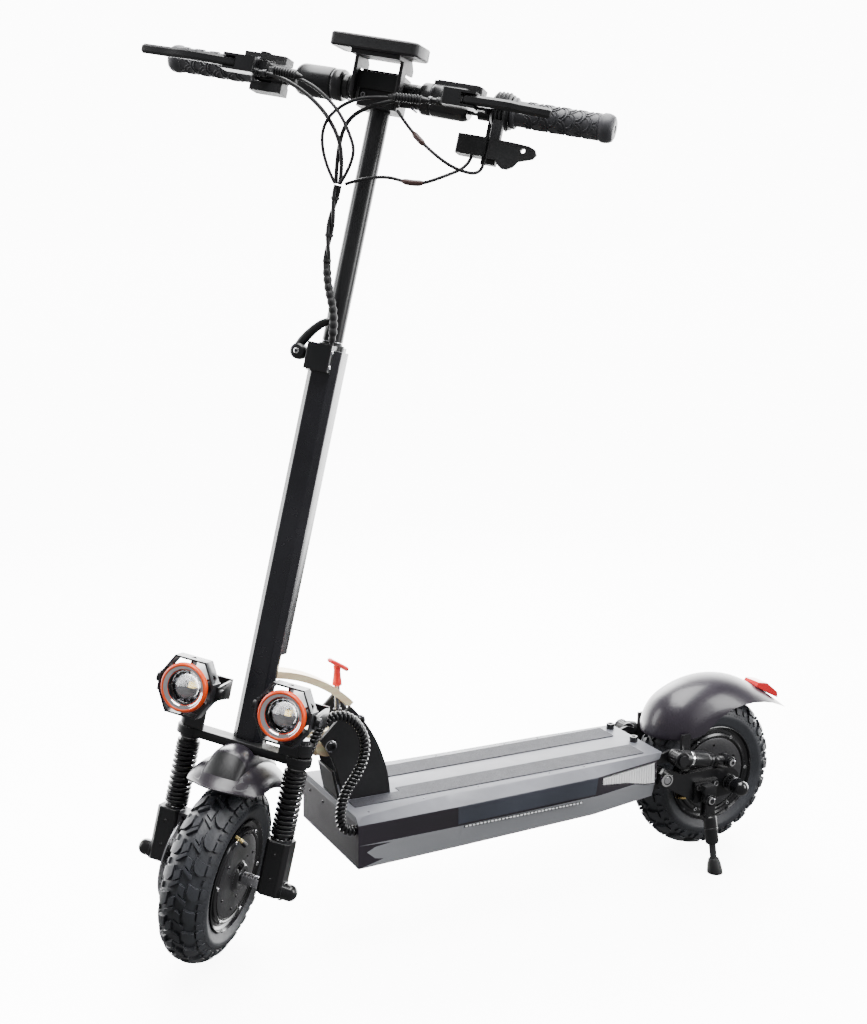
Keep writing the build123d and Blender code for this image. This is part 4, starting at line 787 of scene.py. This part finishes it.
# ---- Neck ----
eased("neck_plates", SATIN, 0.9)
eased("neck_arm", BARE_METAL, 0.8)
coat("headset_bearings", STEEL)
PIN_Y = -252.0
handle = Piece("latch_tee", "red_plastic", "latch_handle")
handle.rod(place(ROW, 0, PIN_Y, 320.5), 4, 48, STEEL)
handle.rod(place(ROW, 0, PIN_Y, 320.5), 6, 2, DARK)
handle.lathe(place(ROW, 0, PIN_Y, 357), [(0, 0), (6.4, 0), (7, 0.8), (6.6, 5), (5.4, 14), (4.8, 22),
                                         (5.4, 28), (0, 28)], RED_PLASTIC, 40)
bar = place(ROW, 0, PIN_Y, 384, rx=-32)
tee = [(7.5, -12), (6.4, -15.4), (3, -17), (-3, -17), (-6.4, -15.4), (-7.5, -12), (-6.4, 0)]
handle.prism(bar, tee + [(-x, -y) for x, y in tee], 6, RED_PLASTIC, 1.8)
handle.build()

# ---- Deck ----
shell = eased("deck_shell", FENDER, 1.0)
shell.data.materials.append(DECK_SILVER)
for face in shell.data.polygons:
    if -0.9 < face.normal.z < -0.02 and abs(face.normal.x) > 0.3:
        face.material_index = 1
eased("deck_lid", DECK_LID, 0.8)
eased("rear_bracket", PAINT, 0.8)
eased("grip_strips", GRIP_TAPE, 0.4)
coat("battery_pack", CELL_BLUE)
coat("motor_controller", HOUSING)
leds = Piece("led_strips_lit", "white_lamp", "led_strips")
for side, way in SIDES:
    strip = facing(ROW, way, side * 98.5, 0, 155.5)
    leds.block(strip, 3.8, 199, 0.9, HOUSING, 1.0, 0.2)
    for y in range(-96, 97, 6):
        leds.block(place(strip, 0, y, 0.8), 2.4, 4.4, 0.6, LAMP_WHITE, 0.8, 0.2)
leds.build()
HIP_START, HIP_END = Vector((93, 130, 0)), Vector((71, 252, 0))
lamps = Piece("side_lamps_ribbed", "white_lamp", "side_lamps")
for side in (1, -1):
    run = (HIP_END - HIP_START).normalized()
    run, out = Vector((side * run.x, run.y, 0)), Vector((side * run.y, -run.x, 0))
    hip = basis(run, Vector((0, 0, 1)), out, Vector((side * HIP_START.x, HIP_START.y, 0)))
    shape = [(8.6, 183.4), (119.4, 183.4), (121.2, 149.8), (100, 152.8), (60.2, 163.8), (8.6, 172.6)]
    lamps.prism(place(hip, z=-4), shape, 3.6, LAMP_WHITE, 0.3)
    for start, end in zip(shape, shape[1:] + shape[:1]):
        lamps.tube(hip, [(*start, 0.0), (*end, 0.0)], 0.75, DARK, 8)
    for k in range(20):
        u = 13 + 5.3 * k
        foot = 172.4 - (u - 8) * 0.17 if u < 60 else max(153, 163.5 - (u - 60) * 0.28)
        lamps.block(place(hip, u, foot / 2 + 91.25, -0.6), 3.4, 180.5 - foot, 1.3, LAMP_WHITE, 0.8, 0.5)
lamps.build(30)

SWING_Y, SWING_Z = 268.0, 153.0
screws = Piece("deck_screws", "chrome", "deck_bolts")
screws.rod(facing(ROW, "+X", -32, -275.5, 281), 6, 64, STEEL)
for side, way in SIDES:
    for y, z in ((-275.5, 281.0), (-232.0, 312.0)):
        spot = facing(ROW, way, side * 32, y, z)
        screws.lathe(spot, [(0, 0), (8.5, 0), (8.5, 0.9), (7.4, 1.3)], STEEL, 36)
        screws.bolt(place(spot, z=1), 6.6, 3.9, DARK)
    screws.rod(facing(ROW, way, side * 50, SWING_Y, SWING_Z), 6, 29, STEEL)
    cap = facing(ROW, way, side * 72.4, SWING_Y, SWING_Z)
    screws.lathe(cap, [(0, 0), (10.5, 0), (10.5, 5.6), (9.6, 6.5), (7.4, 6.5)], CHROME, 40)
    screws.lathe(cap, [(7.4, 6.5), (6.6, 4.2), (0, 4.0)], GLOSS, 40)
for x in (-54, 11):
    screws.bolt(place(ROW, x, 249, 197), 6.4, 8.6, GLOSS)
screws.build()
panel = Piece("deck_trim", "deck_grey", body="deck")
for side in (1, -1):
    run = Vector((-7.0 * side, 240.0, 0)).normalized()
    out = Vector((side * run.y, -side * run.x, 0))
    side_face = basis(run, Vector((0, 0, 1)), out, Vector((side * 100, -110, 0)))
    stripe = [(0, 161), (236, 161), (240, 186.4), (0, 186.4)]
    panel.prism(place(side_face, z=-0.6), stripe, 1.0, DECK_STRIPE, 0.2)
for x in (-72, -24, 24, 72):
    panel.bolt(facing(ROW, "-Y", x, -264.2, 176), 2.2, 0.9, DARK)
for side in (1, -1):
    for y in (-240, -150, -60, 60, 120):
        wide = 92.0 - (y + 264) * 17.0 / 154 if y < -110 else 75.0
        panel.bolt(place(ROW, side * (wide - 8), y, 196.6), 2.0, 0.8, DARK)
panel.build()

# ---- Rear suspension ----
eased("swing_arm", PAINT, 0.9)
SHOCK_X, SHOCK_FRONT, SHOCK_REAR = 74.0, Vector((0, 290, 184)), Vector((0, 384, 166))
shock_run = (SHOCK_REAR - SHOCK_FRONT).normalized()
bodies = Piece("shock_cylinders", "black_metal", "shock_bodies")
shafts = Piece("shock_shafts", "chrome", "shock_rods")
for side in (1, -1):
    x_dir = Vector((1, 0, 0))
    base = basis(x_dir, shock_run.cross(x_dir), shock_run, Vector((side * SHOCK_X, *SHOCK_FRONT[1:])))
    eye = facing(ROW, "+X", side * SHOCK_X - 12, 290, 184)
    bodies.lathe(eye, [(4.1, 0), (12, 0), (13, 1), (13, 4), (12.2, 5), (12.2, 19), (13, 20), (13, 23),
                       (12, 24), (4.1, 24), (4.1, 0)], PAINT, 44)
    for k in range(20):
        bodies.block(spun(eye, 18 * k, 12.4, 0, 5.4), 1.0, 1.6, 13, SATIN, 0.3, 0.3)
    bodies.lathe(base, [(0, 6), (11, 6), (12.4, 7), (13, 9), (13, 19), (12.2, 20)], PAINT, 48)
    bodies.lathe(base, [(12.2, 20), (12.5, 20.4), (12.5, 23.6), (12.2, 24)], CHROME, 48)
    bodies.lathe(base, [(12.2, 24), (13, 24.8), (13, 51), (12.4, 52.6), (11, 54.4), (11, 57), (10.2, 57.4),
                        (10.2, 58.6), (11, 59), (11, 62.8), (10, 64), (5.1, 64)], PAINT, 48)
    shafts.rod(place(base, z=30), 5, 58, CHROME)
    shafts.lathe(base, [(5, 70), (7.4, 70), (7.8, 71), (7.8, 78), (7.2, 79), (7.0, 86), (5, 88)], PAINT, 36)
    rear_eye = facing(ROW, "+X", side * SHOCK_X - 10, 384, 166)
    shafts.lathe(rear_eye, [(4.5, 0), (8.4, 0), (9, 0.7), (9, 19.3), (8.4, 20), (4.5, 20), (4.5, 0)],
                 PAINT, 40)
    shafts.lathe(rear_eye, [(4.4, -0.4), (6.2, -0.4), (6.2, 20.4), (4.4, 20.4)], STEEL, 40)
bodies.build()
shafts.build()
swing_bolts = Piece("swing_screws", "chrome", body="swing")
for side, way in SIDES:
    swing_bolts.bolt(facing(ROW, way, side * 87.6, 384, 166), 5.6, 2.6, CHROME)
for y, z in ((329, 130), (362, 132)):
    swing_bolts.bolt(facing(ROW, "+X", 76, y, z), 4.9, 3.6, CHROME)
    swing_bolts.bolt(facing(ROW, "-X", -72, y, z), 3.6, 1.6, DARK)
swing_bolts.build()
eased("rear_fender", FENDER, 1.0, 24)
eased("tail_light", RED_LENS, 1.0)

# ---- Kickstand ----
STAND, FOOT_END = Vector((88, 342, 112)), 111
stand = Piece("kickstand_leg", "black_metal", "kickstand")
for x in (77.5, 91.0):
    cheek = facing(ROW, "+X", x, STAND.y, STAND.z)
    stand.lathe(cheek, [(4.1, 0), (8.6, 0), (9, 0.5), (9, 2.7), (8.6, 3.2), (4.1, 3.2), (4.1, 0)], PAINT, 36)
    stand.block(place(ROW, x + 1.6, STAND.y, STAND.z - 32), 3.2, 17.6, 31, PAINT, 1.2, 0.5)
stand.block(place(ROW, 85.85, STAND.y, STAND.z - 34), 16.7, 18, 9, PAINT, 3)
stand.bolt(facing(ROW, "+X", 94.2, STAND.y, STAND.z), 6.0, 2.6, CHROME)
leg = place(ROW, STAND.x - 2, STAND.y, STAND.z, ry=180 - 13.0)
stand.lathe(leg, [(0, 26), (9.4, 26), (10.5, 27.4), (10.5, 66), (9.6, 68.6), (7.4, 70), (5.6, 70)], PAINT, 40)
stand.lathe(leg, [(10.5, 44), (10.8, 44.2), (10.8, 46), (10.5, 46.2)], DARK, 40)
stand.lathe(leg, [(5.5, 69), (5.5, 100)], DARK, 32)
stand.lathe(leg, [(0, 92), (7.6, 92), (8.4, 93), (9.2, 96), (10.5, 100), (11.4, 106), (12.2, FOOT_END)],
            RUBBER, 40)
# the rubber foot is cut off level, just over the floor
rim = [Vector((x, y, FOOT_END)) for x, y in circle(12.2, 40)]
down = (leg.to_3x3() @ Vector((0, 0, 1))).normalized()
cut = [leg.inverted() @ (top + down * ((0.3 - top.z) / down.z)) for top in (leg @ spot for spot in rim)]
stand.grid(leg, [rim, cut], RUBBER, closed=True)
stand.faces(leg, cut, [tuple(range(40))], RUBBER)
stand.build()

# ---- Cables ----
BRAKE_ROUTES = (
    [(77.9, -44, 1180.5), (58, -44, 1180.5), (10, -52, 1163), (-24, -50, 1140), (-30, -44, 1096),
     (-25, -38, 1057.5)],
    [(-148.9, -44, 1180.5), (-128, -44, 1180.5), (-68, -52, 1155), (-32, -52, 1121), (-19, -46, 1088),
     (-19.4, -38, 1057.5)],
)
WIRE_ROUTES = (
    [(84, -58, 1177), (29, -58, 1174), (-20, -59, 1164), (-54, -56, 1130), (-46, -48, 1084),
     (-24.5, -43.4, 1057.5)],
    [(-138, -58, 1184), (-92, -58, 1181), (-42, -58, 1155), (-14, -58, 1124), (1, -52, 1092),
     (-16.8, -45.2, 1057.5)],
    [(138, -8, 1126.6), (137.5, -11, 1112), (116, -38, 1090), (84, -40, 1073), (30, -40, 1080),
     (-14, -32.6, 1060)],
    [(155, -7, 1117.6), (154.5, -9, 1104), (130, -34, 1102), (101, -42, 1114), (60, -40, 1140),
     (34, -28, 1163.7)],
)
TRUNK = [(-22, -38, 1056), (-24, -34, 1010), (-17, -31, 940), (10, -31, 886), (10, -29, 853.5)]
HARNESS = [(11.1, -326, 296), (34, -326, 296), (50, -324, 268), (57, -314, 300), (62, -296, 336),
           (68, -262, 336), (74, -240, 300), (80, -250, 262), (88, -284, 228), (90, -287, 178),
           (90, -264.1, 178)]
CABLE_R, THIN_WIRE_R, BOOT_R, TRUNK_R, HARNESS_R = 2.7, 2.2, 5.8, 6.0, 7.5


def strand(name, route, radius, node, bend):
    """A smooth round cable through a route's points, left fixed in place instead of riding on a body."""
    curve = bpy.data.curves.new(name, "CURVE")
    curve.dimensions, curve.bevel_depth, curve.bevel_resolution = "3D", radius / 1000, 5
    curve.use_fill_caps = True
    line = curve.splines.new("NURBS")
    line.points.add(len(route) - 1)
    for spot, at in zip(line.points, route):
        spot.co = (*(MM @ STEER @ Vector(at)), 1)
    line.order_u, line.use_endpoint_u, line.resolution_u = 3, True, 16
    curve.materials.append(RUBBER)
    guide = bpy.data.objects.new(name + "_guide", curve)
    mesh = bpy.data.meshes.new_from_object(guide)
    bpy.data.objects.remove(guide)
    piece = shown(name, mesh)
    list(bend)
    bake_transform(piece)
    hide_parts(node)


def centreline(route, count):
    """Points evenly along the same smooth curve as a strand, for pieces strung on it, and its length."""
    spots = [Vector(p) for p in route]
    joints = [spots[0], *((a + b) / 2 for a, b in zip(spots[1:], spots[2:-1])), spots[-1]]
    fine = []
    for t in (min(k / 400, 0.999999) * (len(joints) - 1) for k in range(401)):
        n, u = int(t), t % 1
        fine.append((1 - u) ** 2 * joints[n] + 2 * u * (1 - u) * spots[n + 1] + u ** 2 * joints[n + 1])
    lengths = [0.0]
    for a, b in zip(fine, fine[1:]):
        lengths.append(lengths[-1] + (b - a).length)
    found, j = [], 0
    for k in range(count + 1):
        goal = lengths[-1] * k / count
        while j < 399 and lengths[j + 1] < goal:
            j += 1
        share = (goal - lengths[j]) / max(1e-9, lengths[j + 1] - lengths[j])
        found.append(fine[j].lerp(fine[j + 1], min(1.0, share)))
    return found, lengths[-1]


POST = BODY_OF["brake_cables"]


def across_fold(word, start, end):
    """The bar half and the post that a cable runs between, and the points where it leaves them."""
    return f"{word}_bar", POST, tuple(MM @ STEER @ Vector(start)), tuple(MM @ STEER @ Vector(end))


LEFT_BEND = across_fold("left", (76, -50, 1178), (20, -54, 1166))
RIGHT_BEND = across_fold("right", (-90, -52, 1176), (-30, -52, 1140))
HORN_BEND = across_fold("left", (130, -20, 1105), (30, -40, 1080))
THROTTLE_BEND = across_fold("left", (140, -25, 1104), (45, -36, 1152))
for k, (route, bend) in enumerate(zip(BRAKE_ROUTES, (LEFT_BEND, RIGHT_BEND))):
    strand(f"brake_cable_{k}", route, CABLE_R, "brake_cables", bend)
for k, (route, bend) in enumerate(zip(WIRE_ROUTES, (LEFT_BEND, RIGHT_BEND, HORN_BEND, THROTTLE_BEND))):
    strand(f"control_wire_{k}", route, THIN_WIRE_R, "control_wires", bend)
BOOTS = (("left", LEFT_BEND, (82, -58, 1177), (29, -58, 1174.5)),
         ("right", RIGHT_BEND, (-140, -58, 1184.5), (-92, -58, 1181)))
for word, bend, start, end in BOOTS:
    boots = Piece(f"cable_boot_{word}", "black_plastic", body=POST)
    first, last = Vector(start), Vector(end)
    points, radii = [], []
    for k in range(53):
        share = k / 52
        points.append(first.lerp(last, share))
        ridge = 1.5 if 0.14 < share < 0.86 and k % 4 in (1, 2) else 0.0
        ends = 1 - max(0.0, abs(share - 0.5) - 0.36) * 3.4
        radii.append((BOOT_R - 1.5 + ridge) * ends)
    boots.tube(STEER, points, radii, RUBBER, 20)
    boots.build(40, bend=bend)
# dark in-line connectors on the two wires from the left controls
for k, bend, first, last in ((2, HORN_BEND, 0.42, 0.58), (3, THROTTLE_BEND, 0.60, 0.74)):
    joint = Piece(f"wire_joint_{k}", "rubber", body=POST)
    cut = centreline(WIRE_ROUTES[k], 100)[0][int(first * 100): int(last * 100) + 1]
    radii = [2.4 + 1.5 * min(1.0, 6 * min(n, len(cut) - 1 - n) / len(cut)) for n in range(len(cut))]
    joint.tube(STEER, cut, radii, JOINT_BROWN, 16)
    joint.build(60, bend=bend)

bundle = Piece("cable_trunk", "rubber", body=POST)
line, _ = centreline(TRUNK, 190)
for start in (0.0, pi):
    pair = [spot + Vector((cos(start + k / 14), sin(start + k / 14), 0)) * 2.6
            for k, spot in enumerate(line[:110])]
    bundle.tube(STEER, pair, 2.7, RUBBER, 14)
radii = [(TRUNK_R - 1.3 + 1.2 * abs(sin(pi * k / 9))) * min(1.0, 0.5 + k / 20, 0.6 + (100 - k) / 30)
         for k in range(101)]
bundle.tube(STEER, line[90:], radii, RUBBER, 20)
for k in (14, 58, 88):
    bundle.tube(STEER, line[k: k + 4], 5.7, PLASTIC, 20)
bundle.build(60)

# the neck harness: a core in a spiral wrap
loom = Piece("harness_spiral", "rubber", "neck_harness")
steps = 620
line, length = centreline(HARNESS, steps)
loom.tube(ROW, line[::4], HARNESS_R - 3.0, RUBBER, 14)
turns, lift = length / 11.5, HARNESS_R - 2.7
for start in (0.0, pi):
    path = []
    for k, (spot, side, other) in enumerate(along(line)):
        angle = start + 2 * pi * turns * k / steps
        path.append(spot + lift * (cos(angle) * side + sin(angle) * other))
    loom.tube(ROW, path, 2.7, GLOSS, 9)
loom.build(70, bend=("neck", "deck", (0.050, -0.324, 0.285), (0.088, -0.250, 0.262)))

# ---- Stage and light ----
BACKDROP_LIGHT, ROOM_LIGHT, FLOOR_GLOW, FLOOR_HALF = 12.0, 0.30, 9.0, 40.0
floor_mesh = bpy.data.meshes.new("floor")
corners = [(x * FLOOR_HALF, y * FLOOR_HALF, 0) for x, y in ((-1, -1), (1, -1), (1, 1), (-1, 1))]
floor_mesh.from_pydata(corners, [], [(0, 1, 2, 3)])
floor_look = finish("floor_white", (0.86, 0.86, 0.87), spread=0.05, scale=4)
feed(floor_look.node_tree.nodes["Principled BSDF"], Emission_Color=(1, 1, 1, 1), Emission_Strength=FLOOR_GLOW)
floor_mesh.materials.append(floor_look)
floor = shown("floor", floor_mesh)
# the floor shows white and takes shadows, but doesn't mirror in the black paint
floor.visible_glossy = floor.visible_diffuse = False
floor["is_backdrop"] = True

# A studio that is bright behind the scooter and dim on the near side, with nothing bright far below the
# horizon, so that the black paint stays dark
world = bpy.data.worlds.new("studio")
world.use_nodes = True
bpy.context.scene.world = world
tree = world.node_tree
direction = add(tree, "TexCoord").outputs["Generated"]
toward = tree.nodes.new("ShaderNodeVectorMath")
toward.operation = "DOT_PRODUCT"
tree.links.new(direction, toward.inputs[0])
toward.inputs[1].default_value = tuple(-back)
height = add(tree, "SeparateXYZ", Vector=direction)
above = add(tree, "MapRange", Value=height.outputs["Z"], From_Min=-0.40, From_Max=-0.24)
product = tree.nodes.new("ShaderNodeMath")
product.operation = "MULTIPLY"
tree.links.new(toward.outputs["Value"], product.inputs[0])
tree.links.new(above.outputs["Result"], product.inputs[1])
fade = add(tree, "MapRange", Value=product.outputs["Value"], From_Min=0.25, From_Max=0.80,
           To_Min=ROOM_LIGHT, To_Max=BACKDROP_LIGHT)
above.interpolation_type = fade.interpolation_type = "SMOOTHSTEP"
feed(tree.nodes["Background"], Color=(1, 1, 1, 1), Strength=fade.outputs["Result"])


def softbox(name, spot, aim, size, power):
    light = bpy.data.lights.new(name, "AREA")
    light.shape, light.size, light.size_y = "RECTANGLE", *size
    light.energy, light.spread = power, radians(140)
    lamp = shown(name, light)
    lamp.location = spot
    lamp.rotation_euler = (Vector(aim) - Vector(spot)).to_track_quat("-Z", "Y").to_euler()


softbox("overhead", (0.1, 0.1, 2.7), (0.0, 0.0, 0.3), (2.2, 1.8), 110)
softbox("left_wall", (-1.2, -2.4, 1.2), (0.0, -0.3, 0.6), (0.8, 2.0), 24)
softbox("right_wall", (1.8, 1.9, 1.3), (0.0, 0.1, 0.5), (0.9, 1.8), 40)
softbox("rear", (-2.2, 0.6, 1.6), (0.0, 0.0, 0.5), (1.4, 1.6), 40)

low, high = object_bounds()
sizes = {"cad": [list(cad_box[0]), list(cad_box[1])], "shown": [list(low), list(high)]}
